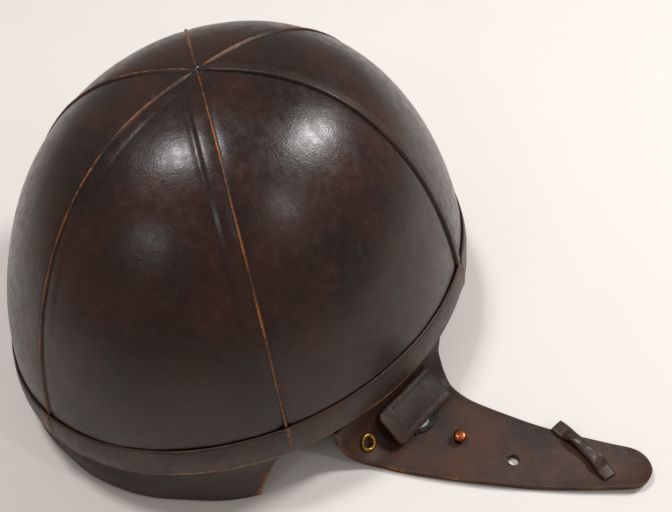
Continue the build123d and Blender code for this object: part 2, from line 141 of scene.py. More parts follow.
def quads(rows, columns, wrap_rows=False, wrap_columns=False):
    """Corner numbers of the cells of a grid, wound anticlockwise in row, column order."""
    r = np.arange(rows if wrap_rows else rows - 1)
    c = np.arange(columns if wrap_columns else columns - 1)
    r, c = np.meshgrid(r, c, indexing="ij")
    r2 = (r + 1) % rows
    c2 = (c + 1) % columns
    cells = [r * columns + c, r2 * columns + c, r2 * columns + c2, r * columns + c2]
    return np.stack(cells, axis=-1).reshape(-1, 4)


def new_object(name, vertices, faces, material, attributes=()):
    """Mesh object at the origin from arrays of corners in metres and of faces."""
    mesh = bpy.data.meshes.new(name)
    mesh.from_pydata(np.asarray(vertices).reshape(-1, 3).tolist(), [], [list(f) for f in faces])
    for key, values in attributes:
        layer = mesh.attributes.new(key, "FLOAT", "POINT")
        layer.data.foreach_set("value", np.asarray(values, np.float32).ravel())
    mesh.shade_smooth()
    mesh.materials.append(material)
    obj = bpy.data.objects.new(name, mesh)
    bpy.context.scene.collection.objects.link(obj)
    return obj


def outward(obj):
    """Turns every face of a closed mesh outwards."""
    work = bmesh.new()
    work.from_mesh(obj.data)
    bmesh.ops.recalc_face_normals(work, faces=work.faces)
    work.to_mesh(obj.data)
    work.free()
    return obj


def shell_object(name, outside, inside, material, attributes=()):
    """Closed sheet from two grids of corners: two faces and a wall round the border."""
    rows, columns = outside.shape[:2]
    count = rows * columns
    face = quads(rows, columns)
    index = np.arange(count).reshape(rows, columns)
    border = np.concatenate(
        [index[0, :-1], index[:-1, -1], index[-1, :0:-1], index[:0:-1, 0]]
    )
    after = np.roll(border, -1)
    rim = np.stack([border, after, after + count, border + count], axis=-1)
    faces = np.concatenate([face, face[:, ::-1] + count, rim])
    vertices = np.concatenate([outside.reshape(-1, 3), inside.reshape(-1, 3)])
    both = [(key, np.concatenate([v.ravel(), v.ravel()])) for key, v in attributes]
    return outward(new_object(name, vertices, faces, material, both))


def tube_object(name, rings, material, attributes=(), closed=False, ends=True):
    """Closed skin over rings of corners; closed joins the last ring to the first."""
    rows, columns = rings.shape[:2]
    faces = quads(rows, columns, wrap_rows=closed, wrap_columns=True).tolist()
    if ends and not closed:
        faces.append(list(range(columns))[::-1])
        faces.append([(rows - 1) * columns + i for i in range(columns)])
    return outward(new_object(name, rings, faces, material, attributes))


# ---- finishes ----

def shade(code):
    """sRGB hex colour as linear RGBA."""
    rgb = np.array([int(code[i:i + 2], 16) for i in (1, 3, 5)]) / 255.0
    linear = np.where(rgb <= 0.04045, rgb / 12.92, ((rgb + 0.055) / 1.055) ** 2.4)
    return (*linear.tolist(), 1.0)


def add(tree, kind, links=None, **settings):
    """Adds one node; a socket in links is joined, and any other value is set."""
    node = tree.nodes.new("ShaderNode" + kind)
    for key, value in settings.items():
        setattr(node, key, value)
    for key, value in (links or {}).items():
        if isinstance(value, bpy.types.NodeSocket):
            tree.links.new(value, node.inputs[key])
        else:
            node.inputs[key].default_value = value
    return node


def blank(name):
    """New material with its node tree, shader and object coordinates in metres."""
    material = bpy.data.materials.new(name)
    material.use_nodes = True
    tree = material.node_tree
    shader = tree.nodes["Principled BSDF"]
    place = add(tree, "TexCoord").outputs["Object"]
    return material, tree, shader, place


def per_mm(size):
    """Texture scale for a feature of that many millimetres."""
    return 1.0 / (size * MM)


def noise(tree, place, size, detail=3.0, rough=0.55):
    """Noise value whose features are about that many millimetres wide."""
    links = {"Vector": place, "Scale": per_mm(size), "Detail": detail, "Roughness": rough}
    return add(tree, "TexNoise", links).outputs["Fac"]


def ramp(tree, value, low, high, to_low=0.0, to_high=1.0):
    """Value carried from one range to another, eased and held at both ends."""
    links = {"Value": value, 1: low, 2: high, 3: to_low, 4: to_high}
    return add(tree, "MapRange", links, interpolation_type="SMOOTHSTEP").outputs[0]


def mixed(tree, share, first, second):
    """Colour between two others."""
    node = add(tree, "Mix", data_type="RGBA")
    for socket, value in ((0, share), (6, first), (7, second)):
        if isinstance(value, bpy.types.NodeSocket):
            tree.links.new(value, node.inputs[socket])
        else:
            node.inputs[socket].default_value = value
    return node.outputs[2]


def combine(tree, operation, first, second):
    """Two values joined by arithmetic."""
    return add(tree, "Math", {0: first, 1: second}, operation=operation).outputs[0]


def raised(tree, height, strength, depth, under=None):
    """Bump from a height value, over another bump where there is one."""
    links = {"Height": height, "Strength": strength, "Distance": depth * MM}
    if under is not None:
        links["Normal"] = under
    return add(tree, "Bump", links).outputs["Normal"]


def leather(name, deep, body, worn, gloss, coat, grain=0.9, crease=0.5, edge="#8a4d1f"):
    """Vegetable-tanned leather: mottled dye, pebbled grain, fine creases and rubbed edges.

    The wear attribute says how far the finish has been rubbed off down to the tan fibre.
    """
    material, tree, shader, place = blank(name)
    cloud = noise(tree, place, 38.0, 4.0)
    fleck = noise(tree, place, 5.0, 6.0, 0.7)
    colour = mixed(tree, ramp(tree, cloud, 0.36, 0.66), shade(deep), shade(body))
    rubbed = ramp(tree, fleck, 0.55, 0.78, 0.0, 0.55)
    colour = mixed(tree, rubbed, colour, shade(worn))
    wear = add(tree, "Attribute", attribute_name="wear").outputs["Fac"]
    broken = ramp(tree, noise(tree, place, 2.4, 5.0, 0.7), 0.3, 0.62)
    bare = combine(tree, "MULTIPLY", wear, combine(tree, "ADD", broken, 0.25))
    colour = mixed(tree, ramp(tree, bare, 0.12, 0.85), colour, shade(edge))
    # near-black mix from the second attribute: real dirt on the sweatband, painted shade in seam creases, grooves
    # and under edges elsewhere
    dirt_and_painted_shade = add(tree, "Attribute", attribute_name="dirt_and_painted_shade").outputs["Fac"]
    colour = mixed(tree, combine(tree, "MULTIPLY", dirt_and_painted_shade, 0.85), colour, shade("#120a08"))
    tree.links.new(colour, shader.inputs["Base Color"])

    pebble = add(
        tree, "TexVoronoi", {"Vector": place, "Scale": per_mm(grain)}, feature="SMOOTH_F1"
    ).outputs["Distance"]
    cracks = add(
        tree, "TexVoronoi", {"Vector": place, "Scale": per_mm(grain * 2.6)},
        feature="DISTANCE_TO_EDGE",
    ).outputs["Distance"]
    bump = raised(tree, noise(tree, place, 14.0, 2.0), 0.5, 0.55)
    bump = raised(tree, ramp(tree, cracks, 0.0, 0.1), crease, 0.04, bump)
    bump = raised(tree, pebble, 0.7, 0.06, bump)
    tree.links.new(bump, shader.inputs["Normal"])

    matt = ramp(tree, fleck, 0.35, 0.7, gloss, gloss + 0.16)
    matt = combine(tree, "ADD", matt, combine(tree, "MULTIPLY", bare, 0.3))
    tree.links.new(matt, shader.inputs["Roughness"])
    shader.inputs["IOR"].default_value = 1.45
    shader.inputs["Coat Weight"].default_value = coat
    shader.inputs["Coat Roughness"].default_value = 0.2
    return material


def felt_cloth(name, body, fleck_colour):
    """Pressed wool felt: short tangled fibres with no weave, quite matt."""
    material, tree, shader, place = blank(name)
    tangle = noise(tree, place, 0.7, 6.0, 0.8)
    patch = noise(tree, place, 20.0, 3.0)
    colour = mixed(tree, ramp(tree, tangle, 0.35, 0.65), shade(body), shade(fleck_colour))
    colour = mixed(tree, ramp(tree, patch, 0.4, 0.8, 0.0, 0.4), colour, shade("#5d5347"))
    tree.links.new(colour, shader.inputs["Base Color"])
    bump = raised(tree, patch, 0.6, 0.5)
    tree.links.new(raised(tree, tangle, 0.8, 0.2, bump), shader.inputs["Normal"])
    shader.inputs["Roughness"].default_value = 0.95
    shader.inputs["Sheen Weight"].default_value = 0.25
    return material


def woven(name, light, dark, pitch):
    """Cotton twill: slanting ribs crossed by threads, on the piece's own UV in millimetres."""
    material, tree, shader, place = blank(name)
    uv = add(tree, "TexCoord").outputs["UV"]
    rib = add(
        tree, "TexWave", {"Vector": uv, "Scale": 2 * math.pi / (20 * pitch), "Distortion": 0.6},
        wave_type="BANDS", bands_direction="DIAGONAL",
    ).outputs["Fac"]
    thread = add(
        tree, "TexWave", {"Vector": uv, "Scale": 2 * math.pi / (20 * pitch), "Distortion": 0.3},
        wave_type="BANDS", bands_direction="X",
    ).outputs["Fac"]
    weave = combine(tree, "MULTIPLY", rib, combine(tree, "ADD", thread, 0.6))
    colour = mixed(tree, weave, shade(dark), shade(light))
    grime = ramp(tree, noise(tree, place, 18.0), 0.45, 0.8, 0.0, 0.5)
    colour = mixed(tree, grime, colour, shade("#6e5a3f"))
    tree.links.new(colour, shader.inputs["Base Color"])
    tree.links.new(raised(tree, weave, 0.9, 0.25), shader.inputs["Normal"])
    shader.inputs["Roughness"].default_value = 0.9
    shader.inputs["Sheen Weight"].default_value = 0.15
    return material


def metal(name, bright, dull, rough):
    """Small turned or pressed metal fitting: bright where rubbed, tarnished elsewhere."""
    material, tree, shader, place = blank(name)
    tarnish = ramp(tree, noise(tree, place, 1.6, 5.0, 0.7), 0.4, 0.68)
    tree.links.new(mixed(tree, tarnish, shade(bright), shade(dull)), shader.inputs["Base Color"])
    scuff = noise(tree, place, 0.35, 3.0)
    tree.links.new(ramp(tree, tarnish, 0.0, 1.0, rough, rough + 0.25), shader.inputs["Roughness"])
    tree.links.new(raised(tree, scuff, 0.3, 0.03), shader.inputs["Normal"])
    shader.inputs["Metallic"].default_value = 1.0
    return material


def thread_finish(name, body, grime):
    """Waxed linen thread, twisted and dirty."""
    material, tree, shader, place = blank(name)
    dirt = ramp(tree, noise(tree, place, 6.0, 4.0), 0.42, 0.62)
    tree.links.new(mixed(tree, dirt, shade(body), shade(grime)), shader.inputs["Base Color"])
    twist = add(
        tree, "TexWave", {"Vector": place, "Scale": per_mm(0.5) / 3.0},
        bands_direction="DIAGONAL",
    ).outputs["Fac"]
    tree.links.new(raised(tree, twist, 0.6, 0.06), shader.inputs["Normal"])
    shader.inputs["Roughness"].default_value = 0.7
    return material


def fibre_board(name):
    """Vulcanised fibre shell: dense grey-brown board with a faint laid texture."""
    material, tree, shader, place = blank(name)
    fibres = noise(tree, place, 1.2, 6.0, 0.75)
    colour = mixed(tree, fibres, shade("#3c2f25"), shade("#5b4a3a"))
    tree.links.new(colour, shader.inputs["Base Color"])
    tree.links.new(raised(tree, fibres, 0.4, 0.08), shader.inputs["Normal"])
    shader.inputs["Roughness"].default_value = 0.6
    return material


CROWN = leather("oiled_crown_leather", "#1c0c06", "#321609", "#4a2614", 0.27, 0.12, crease=0.3)
BEAD = leather("rubbed_seam_leather", "#201109", "#3a1f10", "#5a3319", 0.36, 0.1, edge="#8f511c")
EDGING = leather("rim_band_leather", "#21110a", "#381f11", "#51321c", 0.38, 0.06, edge="#9a5f26")
STRAP = leather("strap_leather", "#26140b", "#462713", "#643a1e", 0.5, 0.0, 0.7, 0.8, "#8f5420")
INNER = leather("sweatband_leather", "#3a2417", "#5b3b25", "#7a5638", 0.5, 0.02, 0.6, 0.8)
FLAP_LINING = leather("lining_sheepskin", "#241812", "#3a281c", "#5b4433", 0.62, 0.0, 0.6, 0.9)
FELT = felt_cloth("grey_wool_felt", "#7c7468", "#a39a8b")
WEBBING = woven("cotton_webbing", "#b7a57c", "#7d6c4a", 0.9)
LACE = woven("cotton_lace", "#c9bb96", "#857553", 0.7)
BRASS = metal("old_brass", "#c99b4c", "#5a3d1a", 0.28)
COPPER = metal("rubbed_copper", "#b4643c", "#5f2d1a", 0.3)
FIBRE = fibre_board("vulcanised_fibre")
# near-black cloth at the ear hole, partly painted shade for the dark area there
BLACK_LINING_AND_SHADE = felt_cloth("black_lining_and_painted_shade", "#0b0b0a", "#24231f")
GOLD_THREAD = thread_finish("waxed_gold_thread", "#6e4520", "#2c1a0d")
DARK_THREAD = thread_finish("waxed_brown_thread", "#3d2413", "#1d110a")


# ---- stitches ----

def stitches(name, path, lift, material, pitch=3.0, length=2.1, thick=0.55):
    """Row of sunk thread stitches along a path of corners in metres.

    Each stitch is a small ellipsoid: six rings of six corners along the path's direction.
    """
    run = np.concatenate([[0], np.cumsum(np.linalg.norm(np.diff(path, axis=0), axis=1))])
    count = max(2, int(run[-1] / (pitch * MM)))
    at = (np.arange(count) + 0.5) * run[-1] / count
    centre = np.stack([np.interp(at, run, path[:, i]) for i in range(3)], axis=-1)
    normal = np.stack([np.interp(at, run, lift[:, i]) for i in range(3)], axis=-1)
    normal /= np.linalg.norm(normal, axis=1, keepdims=True)
    near = np.clip(at[:, None] + np.array([-1, 1]) * MM, 0, run[-1])
    ends = np.stack([np.interp(near, run, path[:, i]) for i in range(3)], axis=-1)
    forward = ends[:, 1] - ends[:, 0]
    forward /= np.linalg.norm(forward, axis=1, keepdims=True)
    side = np.cross(normal, forward)
    polar = np.radians(np.linspace(8, 172, 6))
    round_ = np.radians(np.arange(6) * 60.0)
    a = (-np.cos(polar) * length / 2 * MM)[:, None] * np.ones(6)
    b = np.outer(np.sin(polar), np.cos(round_)) * thick / 2 * MM
    c = np.outer(np.sin(polar), np.sin(round_)) * thick / 2 * MM
    points = (
        centre[:, None, None]
        + forward[:, None, None] * a[..., None]
        + side[:, None, None] * b[..., None]
        + normal[:, None, None] * c[..., None]
    )
    skin = quads(6, 6, wrap_columns=True)
    caps = np.array([[0, 1, 2, 3], [0, 3, 4, 5], [30, 33, 32, 31], [30, 35, 34, 33]])[:, ::-1]
    cell = np.concatenate([skin, caps])
    faces = (cell[None] + (np.arange(count) * 36)[:, None, None]).reshape(-1, 4)
    return outward(new_object(name, points, faces, material))


# ---- crown ----

GORE_NAMES = ("back_right", "right", "front_right", "front_left", "left", "back_left")
SEAM_NAMES = ("back", "back_right", "front_right", "front", "front_left", "back_left")
LAPPED = "front_right"
SEAM_END = 89.6  # turn at which a bead stops, just short of the crown
TOP_SEAM_END = 89.97  # the one bead that runs over the others there
ALLOWANCE = 8.2  # from a seam to the edge of the turned allowance under the leather


def seam_distance(angle, turn):
    """Distance in millimetres, along the surface, from the nearest seam."""
    off = np.abs((angle + GORE / 2) % GORE - GORE / 2)
    ring = np.cos(np.radians(np.clip(turn, 0, 90))) ** (2 / SHOULDER_FULLNESS)
    return np.radians(off) * ring * (HALF_LENGTH + HALF_WIDTH) / 2


def crown_gore(index):
    """One leather panel: the dome between two seams, pinched down where it is sewn.

    A soft swell and a few long dents are added, and the turned allowance under the
    leather of one panel prints through as a ridge and a valley beside its seams.
    """
    across = (1 - np.cos(np.linspace(0, math.pi, 65))) / 2
    turn = 90 * np.concatenate([[0, 0], np.linspace(0, 1, 110)])
    drop = np.concatenate([[4.2, 2.0], np.zeros(110)])
    angle = (index + across[None, :]) * GORE * np.ones((len(turn), 1))
    turn = turn[:, None] * np.ones_like(angle)
    gap = seam_distance(angle, turn)
    high = np.sin(np.radians(turn))
    swell = 0.35 * ripple(angle * 1.9, turn * 1.7, 17.0, index + 1) * np.cos(np.radians(turn))
    pinch = -0.3 * bump(gap, 2.2) * smooth_step(0, 3.0, 90 - turn)
    ridged = GORE_NAMES[index] == "back_right"
    beside = smooth_step(0.55, 0.7, across) + 0.3 * smooth_step(0.45, 0.3, across)
    beside = beside[None, :] * ridged
    reach = smooth_step(0.3, 0.75, high) * beside * smooth_step(90, 84, turn)
    valley = bump(gap - ALLOWANCE, 1.1) * reach
    print_through = 0.6 * smooth_step(8.4, 5.6, gap) * reach - 0.3 * valley
    outside = dome(angle, turn, swell + pinch + print_through)
    inside = dome(angle, turn, -1.72 + 0 * turn)
    outside[..., 2] -= drop[:, None]
    inside[..., 2] -= drop[:, None]
    # painted shade: darker in the crease along each seam, in the allowance valley and in the step under the lapped
    # seam
    lap_step_shade = bump(gap - 0.9, 1.1) * (across > 0.5)[None, :] * (GORE_NAMES[index] == "right")
    dirt_and_painted_shade = np.clip(0.3 * bump(gap, 1.8) + 0.4 * valley + 0.9 * lap_step_shade, 0, 1)
    wear = 0.18 * bump(gap - 2.8, 0.9) * np.clip(ripple(turn, angle, 3.0, 2), 0, 1)
    name = "crown_gore_" + GORE_NAMES[index]
    piece = shell_object(
        name, settled(outside), settled(inside), CROWN, (("wear", wear), ("dirt_and_painted_shade", dirt_and_painted_shade))
    )
    return weld(piece)


def weld(piece):
    """Joins corners that share a place, then turns the skin outwards."""
    work = bmesh.new()
    work.from_mesh(piece.data)
    bmesh.ops.remove_doubles(work, verts=work.verts, dist=2e-6)
    bmesh.ops.recalc_face_normals(work, faces=work.faces)
    work.to_mesh(piece.data)
    work.free()
    return piece


def seam_strip(angle, left, right, rise, soft):
    """Bead or lap along a seam: a cross profile carried from the band to the crown.

    The profile rises over a soft edge on each side and is closed underneath.
    """
    low = float(turn_at(BAND_HEIGHT - 3))
    top = TOP_SEAM_END if angle == GORE else SEAM_END
    turn = top - (top - low) * (1 - np.linspace(0, 1, 190)) ** 1.5
    across = np.linspace(-left, right, 15)
    height = smooth_step(-left, -left + soft, across) * smooth_step(right, right - soft, across)
    taper = smooth_step(89.99, 88.6, turn)
    rise = rise * (1 + 0.1 * ripple(turn, turn * 0, 1.9, angle))
    spine = dome(np.full_like(turn, angle), turn, 0 * turn)
    near = dome(np.full_like(turn, angle + 0.01), turn, 0 * turn)
    outer = dome(np.full_like(turn, angle), turn, 1 + 0 * turn)
    normal = outer - spine
    side = near - spine
    side /= np.linalg.norm(side, axis=1, keepdims=True)
    sway = 0.22 * ripple(turn, turn * 0, 6.0, angle + 2)[:, None]
    offset = across[None, :] * (0.35 + 0.65 * taper[:, None]) + sway
    sag = -(offset ** 2) / 200.0
    top = -0.5 + (0.5 + rise[:, None]) * height[None, :] * (0.4 + 0.6 * taper[:, None])
    points = spine[:, None] + side[:, None] * offset[..., None]
    over = points + normal[:, None] * (top + sag)[..., None]
    under = points + normal[:, None] * (-0.9 + sag)[..., None]
    rings = np.concatenate([over, under[:, ::-1]], axis=1)
    patchy = 0.55 + 0.45 * ripple(turn, turn * 0.3, 2.6, angle + 5)
    crest = (height ** 3)[None, :] * np.clip(patchy, 0.1, 1)[:, None]
    wear = np.concatenate([crest, 0 * crest], axis=1)
    # painted shade at the foot of both sides of the bead
    dirt_and_painted_shade = np.concatenate([0.6 * (1 - height)[None, :] + 0 * crest, 0 * crest], axis=1)
    rings = settled(rings)
    return rings, wear, dirt_and_painted_shade


def seam_bead(index):
    """Welt over a seam: a narrow round bead, or a flat lap with one sharp step."""
    name = SEAM_NAMES[index]
    if name == LAPPED:
        shape = (0.8, 4.6, 1.05, 0.5)
    else:
        shape = (1.5, 1.5, 0.72, 1.35)
    rings, wear, dirt_and_painted_shade = seam_strip(index * GORE, *shape)
    if name == LAPPED:
        wear *= 0.12
    marks = (("wear", wear), ("dirt_and_painted_shade", dirt_and_painted_shade))
    return tube_object("seam_bead_" + name, rings, BEAD, marks)


def seam_stitching(index, off):
    """Stitches beside a seam, sunk into the pinched leather."""
    turn = np.linspace(turn_at(BAND_HEIGHT + 1.5), 86, 200)
    ring = np.cos(np.radians(turn)) ** (2 / SHOULDER_FULLNESS) * HALF_LENGTH
    angle = index * GORE + np.degrees(off / ring)
    path = settled(dome(angle, turn, -0.25 + 0 * turn))
    lift = settled(dome(angle, turn, 1 + 0 * turn)) - settled(dome(angle, turn, 0 * turn))
    side = "right" if off < 0 else "left"
    name = f"seam_stitches_{SEAM_NAMES[index]}_{side}"
    thread = GOLD_THREAD if SEAM_NAMES[index] == "front" else DARK_THREAD
    return stitches(name, path, lift, thread, 2.6, 1.7, 0.5)


# ---- rim band ----

def closed_profile(points, count):
    """Even points round a closed outline given by its corners."""
    corners = np.array(points + points[:1], float)
    run = np.concatenate([[0], np.cumsum(np.hypot(*np.diff(corners, axis=0).T))])
    at = np.linspace(0, run[-1], count, endpoint=False)
    return np.interp(at, run, corners[:, 0]), np.interp(at, run, corners[:, 1])


def rim_band():
    """Leather carried round the edge: outer leg, rolled underside and turned-up inner leg.

    The seam beads under it print through as ridges, with a small corner at its top edge.
    """
    section = [
        (0.10, 16.9), (0.6, 17.1), (1.0, 16.9), (1.25, 16.2), (1.65, 12.5), (1.82, 9.0),
        (1.75, 2.2), (1.45, 0.9), (0.7, 0.2), (-0.6, 0.0), (-3.6, 0.0), (-6.3, 0.0), (-7.2, 0.35),
        (-7.55, 1.2), (-7.6, 6.0), (-7.6, 11.4), (-7.2, 11.95), (-6.5, 12.0), (-6.05, 11.6),
        (-6.0, 6.0), (-6.0, 1.75), (-3.0, 1.65), (-0.2, 1.65), (0.02, 2.2), (0.05, 9.0),
    ]
    out, high = closed_profile(section, 84)
    angle = np.arange(480) * 0.75
    angle, out = np.meshgrid(angle, out, indexing="ij")
    high = np.broadcast_to(high, angle.shape).copy()
    gap = seam_distance(angle, 0 * angle)
    outer = smooth_step(-0.5, 1.2, out)
    lap = np.abs((angle - 120.0 - 1.2 + 180) % 360 - 180) * 2.02
    ridge = 0.75 * bump(gap, 2.6) * smooth_step(1.0, 6.0, high)
    ridge = np.where(lap < 12, 0.7 * bump(lap, 3.6), ridge)
    wave = 0.22 * ripple(angle * 1.1, high * 0.9, 3.4, 3)
    points = wall(angle, high, out + outer * (ridge + wave))
    lift = 0.45 * bump(gap, 3.0) * smooth_step(14, 17, high)
    points[..., 2] += (lift + 0.18 * ripple(angle, 0 * angle, 2.1, 7)) * outer
    low_edge = bump(high - 1.0, 1.5) * outer
    top_edge = bump(high - 17.0, 0.55) * outer
    corner = bump(gap, 4.0) * smooth_step(2, 8, high) * outer
    rub = np.clip(0.4 + 0.8 * ripple(angle, 0 * angle, 4.2, 9), 0, 1)
    wear = low_edge * (0.4 + 0.6 * rub) + 0.45 * top_edge * rub + 0.55 * corner * bump(gap, 1.2)
    # painted shadow line on the inner side of the band's top edge
    dirt_and_painted_shade = bump(high - 17.2, 0.5) * smooth_step(0.9, 0.0, out)
    marks = (("wear", np.clip(wear, 0, 1)), ("dirt_and_painted_shade", dirt_and_painted_shade))
    piece = tube_object("rim_band_leather", settled(points), EDGING, marks, closed=True)
    return piece


# ---- inside the crown ----

def laid_out(obj, uv):
    """Gives a woven piece its own UV, one pair in millimetres to each vertex."""
    layer = obj.data.uv_layers.new(name="UVMap")
    corner = np.zeros(len(obj.data.loops), int)
    obj.data.loops.foreach_get("vertex_index", corner)
    layer.data.foreach_set("uv", uv[corner].astype(np.float32).ravel())
    return obj


def dome_skin(name, outer, inner, low, material, swell=0.0, top=90.0):
    """Closed layer of the dome between two depths, from a height above the rim up."""
    angle = np.linspace(0, 360, 181)
    first = float(turn_at(low))
    turn = np.linspace(first, top, 70)
    turn, angle = np.meshgrid(turn, angle, indexing="ij")
    puff = swell * ripple(angle * 1.2, turn * 1.6, 11.0, 4) * np.cos(np.radians(turn))
    outside = dome(angle, turn, -outer + 0 * turn)
    inside = dome(angle, turn, -inner + puff)
    if low < RIM_WALL:
        fall = np.where(np.arange(70) == 0, RIM_WALL - low, 0.0)
        outside[..., 2] -= fall[:, None]
        inside[..., 2] -= fall[:, None]
    blank_mark = 0 * turn
    marks = (("wear", blank_mark), ("dirt_and_painted_shade", blank_mark))
    return weld(shell_object(name, settled(outside), settled(inside), material, marks))


def wall_ring(name, section, material, wave=0.0, count=48, high_wear=None):
    """Closed ring round the inside: an outline of depth and height carried round the oval."""
    out, high = closed_profile(section, count)
    angle = np.arange(360.0)
    angle, out = np.meshgrid(angle, out, indexing="ij")
    high = np.broadcast_to(high, angle.shape).copy()
    out = out + wave * ripple(angle * 1.3, high, 7.0, 2)
    points = wall(angle, high, out)
    wear = 0 * angle
    if high_wear is not None:
        wear = 0.8 * bump(high - high_wear, 1.4)
    dirt_and_painted_shade = 0.35 * np.clip(ripple(angle, high, 9.0, 8), 0, 1)
    marks = (("wear", wear), ("dirt_and_painted_shade", dirt_and_painted_shade))
    return tube_object(name, settled(points), material, marks, closed=True)


def sweatband():
    """Leather round the brow: sewn ledge at the rim, upright face and a rolled top edge."""
    section = [
        (-7.75, 1.75), (-7.75, 3.1), (-13.0, 3.2), (-14.8, 4.4), (-15.2, 8.0), (-15.25, 38.0),
        (-15.0, 39.4), (-15.9, 40.0), (-17.0, 39.6), (-17.15, 38.2), (-16.8, 20.0),
        (-16.75, 5.0), (-16.2, 2.6), (-14.5, 1.7), (-11.0, 1.62),
    ]
    return wall_ring("sweatband_leather", section, INNER, 0.22, 72, 39.6)


def webbing_strap(index):
    """Cradle webbing: a flat tape from the sweatband up under the crown to the lace ring.

    The tape follows an inner dome that is lower than the shell, and it ends at the lace.
    """
    depth = 16.95
    reach = HALF_LENGTH - depth
    rise = CROWN_RISE - 30.0
    foot = math.asin(((26.0 - RIM_WALL) / rise) ** (CROWN_FULLNESS / 2))
    last = math.acos(((17.0 + 1.9) / reach) ** (SHOULDER_FULLNESS / 2))
    turn = np.linspace(foot, last, 90)
    ring = reach * np.cos(turn) ** (2 / SHOULDER_FULLNESS)
    high = RIM_WALL + rise * np.sin(turn) ** (2 / CROWN_FULLNESS)
    angle = math.radians(index * GORE)
    out = np.array([-math.sin(angle), math.cos(angle)])
    side = np.array([math.cos(angle), math.sin(angle)])
    run = np.concatenate([[0], np.cumsum(np.hypot(np.diff(ring), np.diff(high)))])
    slope = np.stack([np.gradient(ring), np.gradient(high)], axis=-1)
    slope /= np.linalg.norm(slope, axis=1, keepdims=True)
    half = 10.0 * (1 - 0.22 * smooth_step(0.72, 1.0, run / run[-1]))
    across = np.linspace(-1, 1, 13)
    edge = 1 - np.clip((np.abs(across) - 0.86) / 0.14, 0, 1) ** 2 * 0.6
    rows = []
    for face, order in ((0.0, 1), (-1.4, -1)):
        lift = face * 0.5 + (face + 0.7) * edge[None, ::order] + 0 * run[:, None]
        wide = across[None, ::order] * half[:, None]
        radial = ring[:, None] + lift * slope[:, 1:2]
        height = high[:, None] - lift * slope[:, 0:1]
        x = (out[0] * radial + side[0] * wide) * HALF_WIDTH / HALF_LENGTH
        y = out[1] * radial + side[1] * wide
        rows.append(np.stack([x, y, height + 0 * x], axis=-1))
    rings = np.concatenate(rows, axis=1)
    obj = tube_object("cradle_webbing_" + SEAM_NAMES[index], settled(rings), WEBBING)
    u = np.concatenate([across * 10.0, across[::-1] * 10.0])
    uv = np.stack(np.broadcast_arrays(u[None, :], run[:, None]), axis=-1).reshape(-1, 2)
    return laid_out(obj, uv)


def cradle_lace():
    """Cotton lace drawn through the webbing ends: a ring of twisted cord."""
    turn = math.acos((17.0 / (HALF_LENGTH - 16.95)) ** (SHOULDER_FULLNESS / 2))
    height = RIM_WALL + (CROWN_RISE - 30.0) * math.sin(turn) ** (2 / CROWN_FULLNESS) - 0.75
    angle = np.radians(np.arange(240) * 1.5)
    round_ = np.radians(np.arange(16) * 22.5)
    angle, round_ = np.meshgrid(angle, round_, indexing="ij")
    strand = 1.35 + 0.18 * np.cos(3 * round_ + 26 * angle)
    ring = 17.0 + strand * np.cos(round_)
    points = np.stack(
        [ring * np.cos(angle) * 0.856, ring * np.sin(angle), height + strand * np.sin(round_)],
        axis=-1,
    )
    obj = tube_object("cradle_lace_cord", settled(points), LACE, closed=True)
    uv = np.stack([angle * 17.0, round_ * 1.5], axis=-1).reshape(-1, 2)
    return laid_out(obj, uv)


def crown_pad():
    """Felt disc under the crown: full in the middle, pulled in at a stitched edge."""
    share = np.linspace(0, 1, 40)
    angle = np.linspace(0, 360, 121)
    share, angle = np.meshgrid(share, angle, indexing="ij")
    radius = 29.5 * share
    turn = np.degrees(np.arccos((radius / HALF_LENGTH) ** (SHOULDER_FULLNESS / 2)))
    full = 2.3 * (1 - share ** 4) ** 0.5 + 0.25 * ripple(radius * 0.3, angle * 0.2, 3.0, 5)
    full -= 0.5 * bump(share - 0.82, 0.05)
    outside = dome(angle, turn, -9.3 - 1.9 + np.minimum(1.7, full * 0.75))
    inside = dome(angle, turn, -11.6 - full)
    return weld(shell_object("crown_pad_felt", settled(outside), settled(inside), FELT))


# ---- flaps, straps and tail, in the lying frame ----

FLAP = 3.0
BEND_RADIUS = 18.0
FOOT = 9.5
STRAP_SWEEP = math.radians(29.0)
STRAP_LENGTH = 106.0
STRAP_HOLE = 2.8  # radius
SNAP_HOLE = 3.2  # radius
EAR_OVAL = (8.5, 11.0)  # half width and half height of the ear hole
POST_ALONG, POST_FORWARD = 13.6, 2.2
NECK_WIDE, NECK_DEEP = 103.7, 121.7  # half sizes of the neck flap's oval
NECK_HALF_ANGLE = 52.0
NECK_RADIUS = 3.6  # outside of the tail's bend
TAIL_LINE = 73.7  # the tail's straight inner edge
RIGHT_HINGE = hinge("right_ear_flap_crease")
RIGHT_CREASE = hinge("right_chin_strap_crease")
LEFT_HINGE = hinge("left_ear_flap_crease")
LEFT_CREASE = hinge("left_chin_strap_crease")
HEAD_X = RIM_CENTRE[0] / MM


def curve_through(points, count):
    """Smooth curve through three places: a parabola by chord length."""
    p = np.array(points, float)
    a = np.linalg.norm(p[1] - p[0])
    b = a + np.linalg.norm(p[2] - p[1])
    t = np.linspace(0, b, count)[:, None]
    return (
        p[0] * (t - a) * (t - b) / (a * b)
        + p[1] * t * (t - b) / (a * (a - b))
        + p[2] * t * (t - a) / (b * (b - a))
    )


